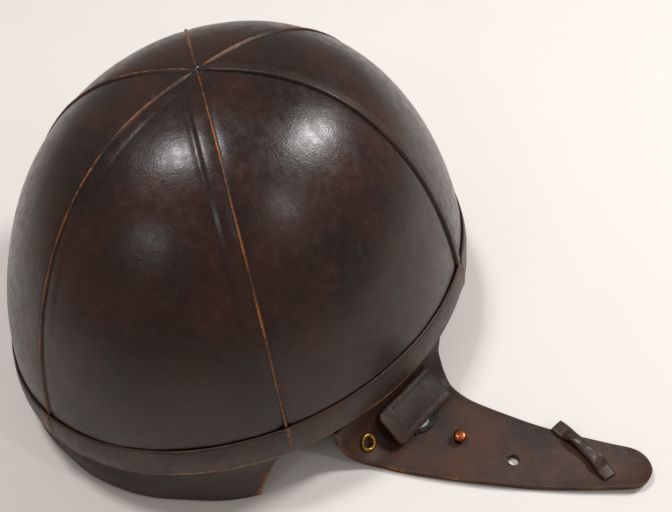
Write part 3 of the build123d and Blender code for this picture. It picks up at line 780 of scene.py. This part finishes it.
def strap_edges(crease, count):
    """Rear and front edges of a strap from its crease to its tip, in the lying frame."""
    tip = STRAP_LENGTH - 11.5
    sine, cosine = math.sin(STRAP_SWEEP), math.cos(STRAP_SWEEP)
    rear = curve_through([(-24 * sine, -24 * cosine), (STRAP_LENGTH / 3, -18), (tip, -7)], count)
    front = curve_through([(30 * sine, 30 * cosine), (STRAP_LENGTH / 2, 18), (tip, 16)], count)
    turn = np.linspace(0, math.pi / 2, 16)[1:]
    end_rear = np.stack([tip + 11.5 * np.sin(turn), 4.5 - 11.5 * np.cos(turn)], axis=-1)
    end_front = np.stack([tip + 11.5 * np.sin(turn), 4.5 + 11.5 * np.cos(turn)], axis=-1)
    edges = []
    for edge in (np.concatenate([rear, end_rear]), np.concatenate([front, end_front])):
        x = crease[0] - edge[:, 0] * cosine + edge[:, 1] * sine
        y = -edge[:, 0] * sine - edge[:, 1] * cosine
        edges.append(np.stack([x, y], axis=-1))
    return edges


def eased(line, times):
    """Line with its corners softened: each inner place moves to the mean of three."""
    line = line.copy()
    for _ in range(times):
        line[1:-1] = (line[:-2] + line[1:-1] + line[2:]) / 3
    return line


def sheet_loop(depth, columns=21, round_=0.75):
    """Cross loop of a leather ply: share across, inset in millimetres, and depth."""
    low, high = depth
    half = (high - low) / 2
    share = np.linspace(0, 1, columns)
    turn = np.linspace(-math.pi / 2, math.pi / 2, 7)[1:-1]
    q = np.concatenate([share, np.ones(5), share[::-1], np.zeros(5)])
    inset = np.concatenate(
        [
            np.zeros(columns), half * round_ * (1 - np.cos(turn)),
            np.zeros(columns), half * round_ * (1 - np.cos(turn)),
        ]
    )
    level = np.concatenate(
        [
            np.full(columns, high), low + half - half * np.sin(turn),
            np.full(columns, low), low + half + half * np.sin(turn),
        ]
    )
    inset[:columns] = half * round_ * ((share < 1e-6) | (share > 1 - 1e-6))
    inset[columns + 5:2 * columns + 5] = inset[:columns]
    return q, inset, level


def flap_and_strap(name, plan, lift, depth, material, edge_wear, inset=0.0):
    """One cut of leather: rear and front edges joined by straight rows, with a round edge.

    plan gives the two edges, lift carries a plan place and a depth to its place, and the
    wear follows the distance from the nearest edge.
    """
    rear, front = plan
    q, edge_inset, level = sheet_loop(depth)
    across = front - rear
    width = np.linalg.norm(across, axis=1)
    direction = across / np.maximum(width, 1e-6)[:, None]
    push = np.minimum(edge_inset[None, :] + inset, width[:, None] * 0.45)
    along = q[None, :] * width[:, None] + np.where(q < 0.5, 1, -1)[None, :] * push
    place = rear[:, None] + direction[:, None] * along[..., None]
    gap = np.minimum(along, width[:, None] - along)
    middle = (rear + front) / 2
    run = np.cumsum(np.linalg.norm(np.diff(middle, axis=0, prepend=middle[:1]), axis=1))
    gap = np.minimum(gap, (run[-1] - run)[:, None] + 0.4)
    points = lift(place, np.broadcast_to(level, gap.shape), gap)
    rub = np.clip(0.45 + 0.8 * ripple(place[..., 0], place[..., 1], 5.0, 6), 0.05, 1)
    wear = 0.6 * edge_wear * bump(gap, 0.9) * rub + 0.2 * bump(gap - 4.6, 0.8) * rub
    # darker line about 3 mm inside the edges
    dirt_and_painted_shade = 0.45 * bump(gap - 3.0, 1.0)
    marks = (("wear", np.clip(wear, 0, 1)), ("dirt_and_painted_shade", dirt_and_painted_shade))
    return tube_object(name, points * MM, material, marks)


RIGHT_WALL = RIGHT_HINGE[0] + FLAP / 2
BEND_X = RIGHT_WALL - BEND_RADIUS
RIGHT_RUN = RIGHT_HINGE[2] - BEND_RADIUS
ARC_RUN = math.radians(90) * (BEND_RADIUS - FLAP / 2)


def right_plan(top):
    """Edges of the right flap and strap, laid out flat: X is measured along the leather."""
    crease = np.array([RIGHT_CREASE[0], 0.0])
    strap = strap_edges(crease, 60)
    start = RIGHT_CREASE[0] + FOOT + ARC_RUN + RIGHT_RUN - top
    x = np.linspace(start, RIGHT_CREASE[0], 50)
    run = x - RIGHT_CREASE[0]
    rear = np.interp(run, (0, 9.5, 17.3, 22.5, 30, 36, 50), (24, 28.8, 33.6, 36.6, 39, 40.5, 42.5))
    front = -30 - 6 * smooth_step(6.0, 30.0, run)
    both = []
    for y, edge in ((rear, strap[0]), (front, strap[1])):
        line = np.concatenate([np.stack([x, y], axis=-1)[:-1], edge])
        both.append(eased(line, 5))
    return both


def right_lift(place, depth, gap):
    """Place on the right flap: straight wall, quarter bend, then flat along the table."""
    x, y = place[..., 0], place[..., 1]
    run = x - BEND_X
    turn = np.clip(run / ARC_RUN, 0, 1) * math.pi / 2
    radius = BEND_RADIUS - depth
    bent_x = BEND_X + radius * np.sin(turn)
    bent_z = BEND_RADIUS - radius * np.cos(turn)
    wall_z = BEND_RADIUS + np.clip(run - ARC_RUN, 0, None)
    out_x = np.where(run < 0, x, np.where(run < ARC_RUN, bent_x, RIGHT_WALL - depth))
    out_z = np.where(run < 0, depth, np.where(run < ARC_RUN, bent_z, wall_z))
    along = np.clip((RIGHT_CREASE[0] - x) / 100, 0, 1)
    flat = smooth_step(0, -12, run)
    cockle = np.clip(0.5 + 0.6 * ripple(x, y, 9.0, 2), 0, 1.2)
    rise = flat * cockle * (0.9 * bump(gap, 7.0) + 0.35) * smooth_step(0, 0.25, along)
    curl = 2.6 * smooth_step(0.72, 1.0, along) * bump(gap, 9.0)
    crumple = 0.5 * smooth_step(-4, 6, run) * smooth_step(26, 12, run) * ripple(x * 1.4, y, 5.0, 4)
    out_x = out_x - crumple
    return np.stack([out_x, y, out_z + rise + curl], axis=-1)


def left_plan():
    """Edges of the left flap and strap, which lie flat under the rim."""
    strap = strap_edges(np.array([LEFT_CREASE[0], 0.0]), 60)
    x = np.linspace(LEFT_HINGE[0] - 0.2, LEFT_CREASE[0], 50)
    share = (x - LEFT_CREASE[0]) / (FOOT + BEND_RADIUS / 2)
    near = np.clip(share, 0, 1)
    rear = np.where(share > 1, np.minimum(37 + 1.4 * (share - 1), 40), 24 + 13 * near)
    front = -30 - 6 * near
    both = []
    for y, edge in ((rear, strap[0]), (front, strap[1])):
        both.append(np.concatenate([np.stack([x, y], axis=-1)[:-1], edge]))
    return both


LEFT_LEVEL = LEFT_HINGE[2] - FLAP / 2


def left_lift(place, depth, gap):
    """Place on the left flap, lining side up."""
    x, y = place[..., 0], place[..., 1]
    wave = 0.35 * np.clip(ripple(x, y, 12.0, 5), 0, 1)
    return np.stack([x, y, LEFT_LEVEL + depth + wave], axis=-1)


def bore(piece, centre, axis, half, thickness=40.0):
    """Cuts an oval hole with clean edges through a piece and returns the piece."""
    angle = np.linspace(0, 2 * math.pi, 48, endpoint=False)
    axis = np.array(axis, float) / np.linalg.norm(axis)
    u = np.cross([0.0, 1.0, 0.0], axis)
    u /= np.linalg.norm(u)
    v = np.array([0.0, 1.0, 0.0])
    ring = half[0] * np.cos(angle)[:, None] * u + half[1] * np.sin(angle)[:, None] * v
    rings = np.stack([centre + ring - axis * thickness / 2, centre + ring + axis * thickness / 2])
    cutter = tube_object(piece.name + "_cut", rings * MM, piece.data.materials[0])
    cut = piece.modifiers.new("hole", "BOOLEAN")
    cut.operation = "DIFFERENCE"
    cut.solver = "EXACT"
    cut.object = cutter
    shape = bpy.data.meshes.new_from_object(
        piece.evaluated_get(bpy.context.evaluated_depsgraph_get())
    )
    piece.modifiers.clear()
    piece.data = shape
    bpy.data.objects.remove(cutter)
    return piece


def strap_place(crease, along, forward):
    """Place on a strap from its distance along and its distance forward."""
    sine, cosine = math.sin(STRAP_SWEEP), math.cos(STRAP_SWEEP)
    x = crease[0] - along * cosine + forward * sine
    return np.array([x, -along * sine - forward * cosine])


def edge_stitching(name, plan, lift, inset, level, material, first=0, last=None):
    """Stitch lines at a distance inside both edges of a flap and strap."""
    rear, front = plan
    across = front - rear
    width = np.linalg.norm(across, axis=1)
    keep = np.flatnonzero(width > 2 * inset + 2)[first:last]
    direction = across[keep] / width[keep][:, None]
    pieces = []
    for tag, start, sign in (("rear", rear, 1), ("front", front, -1)):
        place = start[keep] + sign * inset * direction
        gap = np.full(len(keep), inset)
        path = lift(place, np.full(len(keep), level), gap)
        above = lift(place, np.full(len(keep), level + 1.0), gap) - path
        line = stitches(f"{name}_{tag}", path * MM, above, material, 2.1, 1.4, 0.42)
        pieces.append(line)
    return pieces


# ---- turned and pressed fittings ----

def turned(name, profile, centre, axis, material, hollow=False):
    """Turned piece; a solid one starts and ends on its axis."""
    profile = np.array(profile, float)
    angle = np.arange(40) * math.pi / 20
    axis = np.array(axis, float) / np.linalg.norm(axis)
    u = np.cross([0.0, 1.0, 0.0], axis)
    u /= np.linalg.norm(u)
    v = np.cross(axis, u)
    spin = np.cos(angle)[:, None] * u + np.sin(angle)[:, None] * v
    rings = centre + profile[:, :1, None] * spin[None] + profile[:, 1:, None] * axis
    piece = tube_object(name, rings * MM, material, closed=hollow, ends=not hollow)
    return weld(piece)


def snap_socket(name, centre, axis, flap_below):
    """Pressed brass ring: a rolled flange, a dished mouth and a barrel through the leather."""
    profile = [
        (2.55, -flap_below), (3.05, -flap_below), (3.1, -0.1), (3.6, 0.0), (4.2, 0.1),
        (4.3, 0.45), (4.05, 0.85), (3.6, 1.0), (3.1, 0.95), (2.75, 0.6), (2.52, 0.2),
        (2.5, -flap_below * 0.5),
    ]
    return turned(name, profile, centre, axis, BRASS, hollow=True)


SNAP_TURN = math.radians(45.0)
HOLLOW = BEND_RADIUS - FLAP
SNAP_LIFT = HOLLOW - math.sqrt(HOLLOW ** 2 - 4.3 ** 2) + 0.1
SNAP_AXIS = np.array([-math.sin(SNAP_TURN), 0.0, math.cos(SNAP_TURN)])
SNAP_CENTRE = np.array(
    [BEND_X + HOLLOW * math.cos(SNAP_TURN), 24.7, BEND_RADIUS - HOLLOW * math.sin(SNAP_TURN)]
)


def strap_stud():
    """Turned copper post: a shank through the leather and a wide domed head."""
    place = strap_place(RIGHT_CREASE, POST_ALONG, POST_FORWARD)
    centre = np.array([place[0], place[1], 0.0])
    profile = [
        (0.001, 0.5), (1.7, 0.5), (1.7, 5.4), (2.2, 5.75), (3.1, 5.9), (3.3, 6.2), (3.3, 6.6),
        (3.05, 7.2), (2.4, 7.65), (1.4, 7.92), (0.001, 8.0),
    ]
    return turned("strap_post_copper", profile, centre, (0, 0, 1), COPPER)


def strap_washer():
    """Copper washer that the post is riveted over."""
    place = strap_place(RIGHT_CREASE, POST_ALONG, POST_FORWARD)
    centre = np.array([place[0], place[1], 0.0])
    profile = [
        (1.8, 0.5), (4.6, 0.5), (4.95, 0.65), (5.0, 0.95), (4.8, 1.22), (4.4, 1.3), (2.0, 1.3),
        (1.8, 1.1),
    ]
    return turned("strap_washer_copper", profile, centre, (0, 0, 1), COPPER, hollow=True)


def ribbon(name, spine, side, normal, width, thick, material, columns=11):
    """Leather strip along a path, with its own width and lean at each place."""
    across = np.linspace(-0.5, 0.5, columns)
    crown = 1 - (2 * np.abs(across)) ** 6
    over = spine[:, None] + side[:, None] * (across[None, :] * width[:, None])[..., None]
    top = over + normal[:, None] * (thick * (0.35 + 0.3 * crown))[None, :, None]
    low = over - normal[:, None] * (thick * 0.42 * (0.6 + 0.4 * crown))[None, :, None]
    rings = np.concatenate([top, low[:, ::-1]], axis=1)
    rub = 0.25 * np.abs(2 * across) ** 5
    wear = np.broadcast_to(np.concatenate([rub, rub[::-1]]), rings.shape[:2]).copy()
    return tube_object(name, rings * MM, material, (("wear", wear), ("dirt_and_painted_shade", 0 * wear)))


def strap_keeper():
    """Leather bridge over the strap: sewn feet, and a raised span that leans one way, then back."""
    (x0, y0), (x1, y1) = (59.0, 19.5), (86.5, -3.2)
    t = np.linspace(0, 1, 90)
    foot = smooth_step(0.14, 0.32, t) * smooth_step(0.86, 0.68, t)
    along = x0 + (x1 - x0) * t + 1.6 * np.sin(math.pi * t)
    forward = y0 + (y1 - y0) * t
    rise = 3.0 + 0.95 + 2.4 * foot + 0.25 * np.sin(9 * t)
    spine = np.array([[*strap_place(RIGHT_CREASE, a, f), 0.0] for a, f in zip(along, forward)])
    spine[:, 2] = rise
    tangent = np.gradient(spine, axis=0)
    tangent /= np.linalg.norm(tangent, axis=1, keepdims=True)
    side = np.cross(tangent, [0.0, 0.0, 1.0])
    side /= np.linalg.norm(side, axis=1, keepdims=True)
    normal = np.cross(side, tangent)
    lean = (0.45 * np.sin(2.6 * math.pi * t) * foot)[:, None]
    twisted = side * np.cos(lean) + normal * np.sin(lean)
    up = normal * np.cos(lean) - side * np.sin(lean)
    up *= np.sign(up[:, 2:])
    width = 7.6 - 1.2 * foot + 0.5 * np.sin(11 * t)
    return ribbon("strap_keeper_leather", spine, twisted, up, width, 2.1, EDGING)


# ---- ear covers ----

def ear_cover(name, corner, out, bow):
    """Small ear cover: a bowed panel with round rear corners and a turned, sewn hem."""
    corner_turn = np.linspace(0, math.pi / 2, 10)
    length = np.concatenate([np.linspace(0, 35, 46), 36 + 3 * np.sin(corner_turn)])
    q, edge_inset, level = sheet_loop((0.0, 1.6), 25)
    round_ = 3 - np.sqrt(np.clip(9 - np.clip(length - 36, 0, 3) ** 2, 0, None))
    width = 19.0 - 2 * round_
    across = round_[:, None] + q[None, :] * width[:, None]
    across += np.where(q < 0.5, 1, -1)[None, :] * edge_inset[None, :]
    run = np.broadcast_to(length[:, None], across.shape)
    share = across / 19.0
    arch = bow * np.sin(math.pi * share) * smooth_step(0, 14, run)
    arch += 0.45 * bow * ripple(across, run, 5.0, 3) * smooth_step(0, 10, run)
    hem = 0.55 * smooth_step(30.2, 30.9, run) * (1 - 0.25 * bump(run - 34.8, 1.4))
    side_hem = 0.35 * smooth_step(3.2, 2.6, np.minimum(across, 19 - across))
    up = np.cross(out, BACK)
    up = up if up[2] > 0 else -up
    rise = level[None, :] - 1.6 + arch + np.where(level > 0.8, np.maximum(hem, side_hem), 0)
    points = corner + across[..., None] * out + run[..., None] * BACK
    points = points + rise[..., None] * up
    gap = np.minimum(np.minimum(across, 19 - across), 39.2 - run)
    wear = 0.3 * bump(gap, 0.7) + 0.2 * bump(run - 30.4, 0.6)
    # painted shade in the crease at the foot of the hem's step
    dirt_and_painted_shade = 0.7 * bump(run - 29.7, 0.7)
    marks = (("wear", np.clip(wear, 0, 1)), ("dirt_and_painted_shade", dirt_and_painted_shade))
    piece = tube_object(name, points * MM, STRAP, marks)
    lines = []
    for number, at in enumerate((32.0, 36.2)):
        x = np.linspace(2.0, 17.0, 40)
        y = np.full(40, at)
        lift_up = bow * (np.sin(math.pi * x / 19.0) + 0.45 * ripple(x, y, 5.0, 3))
        path = corner + x[:, None] * out + y[:, None] * BACK + (lift_up + 0.57)[:, None] * up
        tag = f"{name}_stitches_{number}"
        lift = np.broadcast_to(up, path.shape)
        lines.append(stitches(tag, path * MM, lift, GOLD_THREAD, 2.2, 1.5, 0.45))
    return piece, lines


def torn_lining():
    """Frayed end of black lining cloth at the ear hole's edge: crumpled, with a ragged rim. Its near-black colour
    also stands in for painted shade there.
    """
    along = np.linspace(0, 1, 70)
    share = np.linspace(0, 1, 12)
    along, share = np.meshgrid(along, share, indexing="ij")
    angle = np.radians(118 + 104 * along)
    fray = 0.35 + 0.3 * ripple(along * 60, 0 * along, 1.1, 3)
    fray = fray + 0.25 * ripple(along * 60, 0 * along, 0.45, 8)
    reach = 0.92 + share * (0.16 + 0.3 * np.clip(fray, 0, 1))
    x = EAR_HOLE[0] + EAR_OVAL[0] * reach * np.cos(angle)
    y = EAR_HOLE[1] + EAR_OVAL[1] * reach * np.sin(angle)
    heave = 0.7 + 1.3 * share * (0.5 + 0.5 * ripple(along * 40, share * 8, 1.6, 4))
    top = right_lift(np.stack([x, y], axis=-1), 2.9 + heave, 20 + 0 * x)
    low = right_lift(np.stack([x, y], axis=-1), 2.9 + heave - 0.5, 20 + 0 * x)
    marks = (("wear", 0 * x), ("dirt_and_painted_shade", 0 * x))
    return shell_object("torn_lining_edge", top * MM, low * MM, BLACK_LINING_AND_SHADE, marks)


# ---- neck flap ----

def neck_sheet(name, depth, material, edge):
    """One ply of the neck flap: a wall hung from the rim, a tight bend, and the tail inside.

    t runs 0 to 1 down the wall, 1 to 2 round the bend and 2 to 3 in along the table. The
    ends of the wall lean out towards the rim.
    """
    share = np.linspace(-1, 1, 131)[None, :]
    t = np.concatenate(
        [np.linspace(0, 1, 24), 1 + np.linspace(0, 1, 9)[1:], 2 + np.linspace(0, 1, 36)[1:]]
    )[:, None]
    lean = 0.15 * np.abs(share) ** 3 * (1 - np.clip(t, 0, 1)) ** 1.3
    angle = math.radians(NECK_HALF_ANGLE) * share * (1 + lean)
    sine, cosine = np.sin(angle), np.cos(angle)
    rows = []
    fall = np.clip(t, 0, 1)
    for level in depth:
        out = 3.4 * fall ** 2 - 1.6 * np.sin(math.pi * np.clip(fall * 1.4, 0, 1)) + 0 * share
        out = out * smooth_step(3.0, 2.0, t)
        wall_x = (NECK_WIDE - level + out) * sine
        wall_y = (NECK_DEEP - level + out) * cosine
        rim = RIM_CENTRE[2] / MM - wall_x * math.tan(math.radians(8.0)) - 0.6
        z = NECK_RADIUS + (rim - NECK_RADIUS) * (1 - fall)
        turn = np.clip(t - 1, 0, 1) * math.pi / 2
        z = z - (NECK_RADIUS - level) * np.sin(turn) * (t > 1)
        pull = (NECK_RADIUS - level) * (1 - np.cos(turn))
        inner = np.clip(t - 2, 0, 1)
        x, y = wall_x - pull * sine, wall_y - pull * cosine
        x = x + (0.8 * NECK_WIDE * sine - x) * inner
        y = y + (TAIL_LINE - y) * inner
        buckle = 0.8 * ripple(np.degrees(angle) * 1.4, 0 * t, 7.0, 3)
        buckle = buckle * fall * np.clip(3 - t, 0, 1)
        x, y = x + buckle * sine, y + buckle * cosine
        wave = 0.6 * np.clip(ripple(x, y, 10.0, 2), 0, 1) * inner
        rows.append(np.stack([HEAD_X + x, y, np.maximum(z, level) + wave], axis=-1))
    side = (1 - np.abs(share)) * 100.0 + 0 * t
    free = np.minimum(side, (3 - t) * 40.0 + 0 * side)
    fold = bump(t - 1.55, 0.5) + 0 * side
    rub = np.clip(0.3 + 0.9 * ripple(np.degrees(angle), t * 9, 4.0, 8), 0.02, 1)
    wear = np.clip(edge * bump(free, 1.6) * (0.3 + 0.7 * rub) + 0.4 * fold * rub, 0, 1)
    marks = (("wear", wear), ("dirt_and_painted_shade", 0 * wear))
    return shell_object(name, rows[0] * MM, rows[1] * MM, material, marks)


def tail_binding():
    """Thin leather strip folded over the tail's free edges and sewn."""
    angle = np.radians(np.linspace(-NECK_HALF_ANGLE, NECK_HALF_ANGLE, 121))
    x = 0.8 * NECK_WIDE * np.sin(angle)
    y = np.full_like(x, TAIL_LINE + 0.2)
    bend = np.linspace(0, 1, 14)[1:-1]
    back = 0.2
    left = np.stack([x[0] - bend[::-1] * 14.0, y[0] + bend[::-1] * back], axis=-1)
    right = np.stack([x[-1] + bend * 14.0, y[-1] + bend * back], axis=-1)
    line = np.concatenate([left, np.stack([x, y], axis=-1), right])
    tangent = np.gradient(line, axis=0)
    tangent /= np.linalg.norm(tangent, axis=1, keepdims=True)
    out = np.stack([tangent[:, 1], -tangent[:, 0]], axis=-1)
    loop = np.linspace(0, 2 * math.pi, 24, endpoint=False)
    reach = 0.9 + 1.6 * np.cos(loop)
    reach = np.where(reach > 0.9, 0.9, reach * 1.6)
    level = 1.62 + 1.6 * np.sign(np.sin(loop)) * np.abs(np.sin(loop)) ** 0.45
    points = line[:, None] + out[:, None] * reach[None, :, None]
    z = np.broadcast_to(level, points.shape[:2])
    rings = np.concatenate([points + np.array([HEAD_X, 0.0]), z[..., None]], axis=-1)
    wear = 0.6 * np.clip(0.5 + ripple(points[..., 0], points[..., 1], 4.0, 2), 0, 1)
    marks = (("wear", wear), ("dirt_and_painted_shade", 0 * wear))
    return tube_object("neck_tail_edge", rings * MM, EDGING, marks)


# ---- putting the pieces on their bodies ----

def place_on(piece, body, slot, *nodes):
    """Rides a piece on a body and hides the nodes it stands for; slot, meant for its finish, is not used."""
    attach(piece, body)
    if nodes:
        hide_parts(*nodes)
    return piece


def bend_between(piece, bodies, start, end, slot, *nodes):
    """Bakes a piece's placement into its mesh and hides the nodes it stands for; bodies, start, end and slot are
    not used.
    """
    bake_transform(piece)
    if nodes:
        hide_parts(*nodes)
    return piece


for number in range(SEAMS):
    gore, seam = GORE_NAMES[number], SEAM_NAMES[number]
    place_on(crown_gore(number), "helmet", "crown_leather", "crown_panel_" + gore)
    place_on(seam_bead(number), "helmet", "welt_leather", "seam_welt_" + seam)
    place_on(webbing_strap(number), "helmet", "webbing", "cradle_strap_" + seam)
    for off in (-3.4, 3.4) if seam != LAPPED else (-2.6, 6.0):
        place_on(seam_stitching(number, off), "helmet", "welt_leather")

place_on(rim_band(), "helmet", "band_leather", "rim_band")
FELT_LINING = dome_skin("felt_lining_cloth", 6.05, 8.9, 12.2, FELT, 0.35)
place_on(FELT_LINING, "helmet", "felt", "felt_lining")
place_on(sweatband(), "helmet", "sweatband_leather", "sweatband")
FELT_RING = [
    (-9.15, 14.4), (-9.1, 25.0), (-9.15, 35.6), (-11.5, 36.0), (-14.5, 35.6), (-14.9, 25.0),
    (-14.5, 14.4), (-11.5, 14.0),
]
place_on(
    wall_ring("sweatband_padding", FELT_RING, FELT, 0.2), "helmet", "felt", "sweatband_felt"
)
place_on(cradle_lace(), "helmet", "lace_cotton", "cradle_lace")
PAD = place_on(crown_pad(), "helmet", "felt", "crown_pad")

NECK_LOW, NECK_HIGH = np.array([0, 0, 0.002]), np.array([0, 0, 0.013])
NECK_BODIES = ("helmet", "neck_tail")
bend_between(
    neck_sheet("neck_flap_leather", (0.0, 1.6), EDGING, 0.9), NECK_BODIES, NECK_HIGH, NECK_LOW,
    "band_leather", "neck_flap", "neck_tail",
)
bend_between(
    neck_sheet("neck_flap_inner", (1.72, 3.0), FLAP_LINING, 0.4), NECK_BODIES, NECK_HIGH,
    NECK_LOW, "flap_lining", "neck_flap_lining", "neck_tail_lining",
)
place_on(tail_binding(), "neck_tail", "band_leather", "neck_tail_binding")

RIGHT_START = (RIGHT_CREASE + np.array([5.0, 0, 0])) * MM
RIGHT_END = (RIGHT_CREASE - np.array([5.0, 0, 0])) * MM
RIGHT_BODIES = ("right_ear_flap", "right_chin_strap")
RIGHT_PLAN = right_plan(0.0)
EAR_HOLE = np.array([BEND_X + 4.0, -6.0, 0.0])
HOLE = strap_place(RIGHT_CREASE, 40.7, -3.6)
POST = strap_place(RIGHT_CREASE, POST_ALONG, POST_FORWARD)
UPRIGHT = (0, 0, 1)
leather_sheet = flap_and_strap(
    "right_flap_leather", RIGHT_PLAN, right_lift, (1.4, 3.0), STRAP, 0.95
)
lining_sheet = flap_and_strap(
    "right_flap_lining", right_plan(1.7), right_lift, (0.0, 1.3), FLAP_LINING, 0.5, 0.15
)
for sheet, post_hole in ((leather_sheet, 1.8), (lining_sheet, 5.1)):
    bore(sheet, EAR_HOLE, UPRIGHT, EAR_OVAL, 30.0)
    bore(sheet, np.array([*HOLE, 0.0]), UPRIGHT, (STRAP_HOLE, STRAP_HOLE), 20.0)
    bore(sheet, np.array([*POST, 0.0]), UPRIGHT, (post_hole, post_hole), 20.0)
    bore(sheet, SNAP_CENTRE, SNAP_AXIS, (SNAP_HOLE, SNAP_HOLE), 12.0)
bend_between(
    leather_sheet, RIGHT_BODIES, RIGHT_START, RIGHT_END, "strap_leather",
    "right_ear_flap", "right_chin_strap",
)
bend_between(
    lining_sheet, RIGHT_BODIES, RIGHT_START, RIGHT_END, "flap_lining",
    "right_ear_flap_lining", "right_chin_strap_lining",
)
for line in edge_stitching("right_flap_stitches", RIGHT_PLAN, right_lift, 1.9, 3.0, GOLD_THREAD, 4):
    bend_between(line, RIGHT_BODIES, RIGHT_START, RIGHT_END, "strap_leather")
place_on(
    snap_socket("right_snap_brass", SNAP_CENTRE + SNAP_AXIS * SNAP_LIFT, SNAP_AXIS, 3.4),
    "right_ear_flap", "brass", "right_snap_socket",
)
place_on(torn_lining(), "right_ear_flap", "flap_lining")
place_on(strap_stud(), "right_chin_strap", "copper", "right_strap_stud")
place_on(strap_washer(), "right_chin_strap", "copper", "right_strap_washer")
place_on(strap_keeper(), "right_chin_strap", "strap_leather", "right_strap_keeper")

TAB_SLOPE = math.radians(29.0)
TAB_OUT = np.array([-math.cos(TAB_SLOPE), 0.0, -math.sin(TAB_SLOPE)])
TAB_CORNER = np.array([RIGHT_WALL - FLAP - 3.0, -24.0, HOLLOW]) - 1.6 * TAB_OUT
cover, cover_lines = ear_cover("right_ear_cover", TAB_CORNER, TAB_OUT, 1.0)
place_on(cover, "right_ear_tab", "strap_leather", "right_ear_tab")
for line in cover_lines:
    place_on(line, "right_ear_tab", "strap_leather")

LEFT_START = (LEFT_CREASE + np.array([5.0, 0, 0])) * MM
LEFT_END = (LEFT_CREASE - np.array([5.0, 0, 0])) * MM
LEFT_BODIES = ("left_ear_flap", "left_chin_strap")
LEFT_PLAN = left_plan()
LEFT_EAR_HOLE = np.array([LEFT_CREASE[0] + FOOT + 4.0, -6.0, 0.0])
LEFT_SNAP = np.array([LEFT_HINGE[0] - RIGHT_RUN - ARC_RUN / 2, 24.7, LEFT_LEVEL])
leather_sheet = flap_and_strap("left_flap_leather", LEFT_PLAN, left_lift, (0.0, 1.6), STRAP, 0.9)
lining_sheet = flap_and_strap(
    "left_flap_lining", LEFT_PLAN, left_lift, (1.7, 3.0), FLAP_LINING, 0.4, 0.2
)
for sheet in (leather_sheet, lining_sheet):
    bore(sheet, LEFT_EAR_HOLE, UPRIGHT, EAR_OVAL, 30.0)
    for along in (34.0, 50.0, 66.0):
        hole = np.array([*strap_place(LEFT_CREASE, along, 0.0), 0.0])
        bore(sheet, hole, UPRIGHT, (STRAP_HOLE, STRAP_HOLE), 20.0)
    bore(sheet, LEFT_SNAP, UPRIGHT, (SNAP_HOLE, SNAP_HOLE), 12.0)
bend_between(
    leather_sheet, LEFT_BODIES, LEFT_START, LEFT_END, "strap_leather",
    "left_ear_flap", "left_chin_strap",
)
bend_between(
    lining_sheet, LEFT_BODIES, LEFT_START, LEFT_END, "flap_lining",
    "left_ear_flap_lining", "left_chin_strap_lining",
)
place_on(
    snap_socket("left_snap_brass", LEFT_SNAP, (0, 0, -1), 2.4), "left_ear_flap", "brass",
    "left_snap_socket",
)
LEFT_COVER = np.array([LEFT_EAR_HOLE[0] - 9.5, -24.0, 1.6])
cover, cover_lines = ear_cover("left_ear_cover", LEFT_COVER, np.array([1.0, 0.0, 0.0]), 0.0)
place_on(cover, "left_ear_tab", "strap_leather", "left_ear_tab")
for line in cover_lines:
    place_on(line, "left_ear_tab", "strap_leather")

shape = frame["nodes"]["hard_shell"].data
shape.materials.clear()
shape.materials.append(FIBRE)


# ---- table, light and camera ----

def table_finish():
    """Matt white card under the object."""
    material, tree, shader, place = blank("white_card")
    tone = mixed(tree, noise(tree, place, 60.0), shade("#efe8e3"), shade("#f2ece7"))
    tree.links.new(tone, shader.inputs["Base Color"])
    shader.inputs["Roughness"].default_value = 0.8
    return material


def soft_light(name, place, aim, size, power, colour="#ffffff"):
    """Square soft box that faces a place."""
    lamp = bpy.data.lights.new(name, "AREA")
    lamp.shape = "RECTANGLE"
    lamp.size, lamp.size_y = size
    lamp.energy = power
    lamp.color = shade(colour)[:3]
    obj = bpy.data.objects.new(name, lamp)
    bpy.context.scene.collection.objects.link(obj)
    obj.location = place
    obj.rotation_mode = "QUATERNION"
    obj.rotation_quaternion = (Vector(aim) - Vector(place)).to_track_quat("-Z", "Y")
    return obj


SIDE_LENGTH = 12.0
CORNERS = np.array([[-1, -1, 0], [1, -1, 0], [1, 1, 0], [-1, 1, 0]]) * SIDE_LENGTH / 2
FLOOR = new_object("white_floor", CORNERS, [(0, 1, 2, 3)], table_finish())

soft_light("overhead_box", (0.407, 0.099, 1.292), (0.04, 0.04, 0.15), (0.22, 0.22), 6.4)
soft_light("front_box", (-0.338, -0.789, 0.988), (0.01, -0.01, 0.146), (0.24, 0.24), 8.6)
soft_light("side_box", (-0.851, -0.181, 0.956), (0.0, 0.02, 0.135), (0.07, 0.3), 1.0)
soft_light("rear_box", (-0.064, 0.932, 0.96), (0.03, 0.07, 0.13), (0.3, 0.12), 0.8)

world = bpy.data.worlds.new("soft_room")
world.use_nodes = True
world.node_tree.nodes["Background"].inputs["Color"].default_value = shade("#f5efe9")
world.node_tree.nodes["Background"].inputs["Strength"].default_value = 0.3
bpy.context.scene.world = world

lens = bpy.data.cameras.new("camera")
lens.sensor_width = 36.0
lens.lens = 53.571
lens.clip_start = 0.01
camera = bpy.data.objects.new("camera", lens)
bpy.context.scene.collection.objects.link(camera)
RIGHTWARDS = (-0.74674, -0.66511, 0.0)
UPWARDS = (0.50847, -0.57088, 0.64464)
TOWARDS = (-0.42876, 0.48138, 0.76449)
STAND = (-0.20156, 0.21648, 0.43563)
camera.matrix_world = Matrix(
    [[RIGHTWARDS[i], UPWARDS[i], TOWARDS[i], STAND[i]] for i in range(3)] + [[0, 0, 0, 1]]
)
bpy.context.scene.camera = camera
bpy.context.scene.view_settings.view_transform = "Standard"
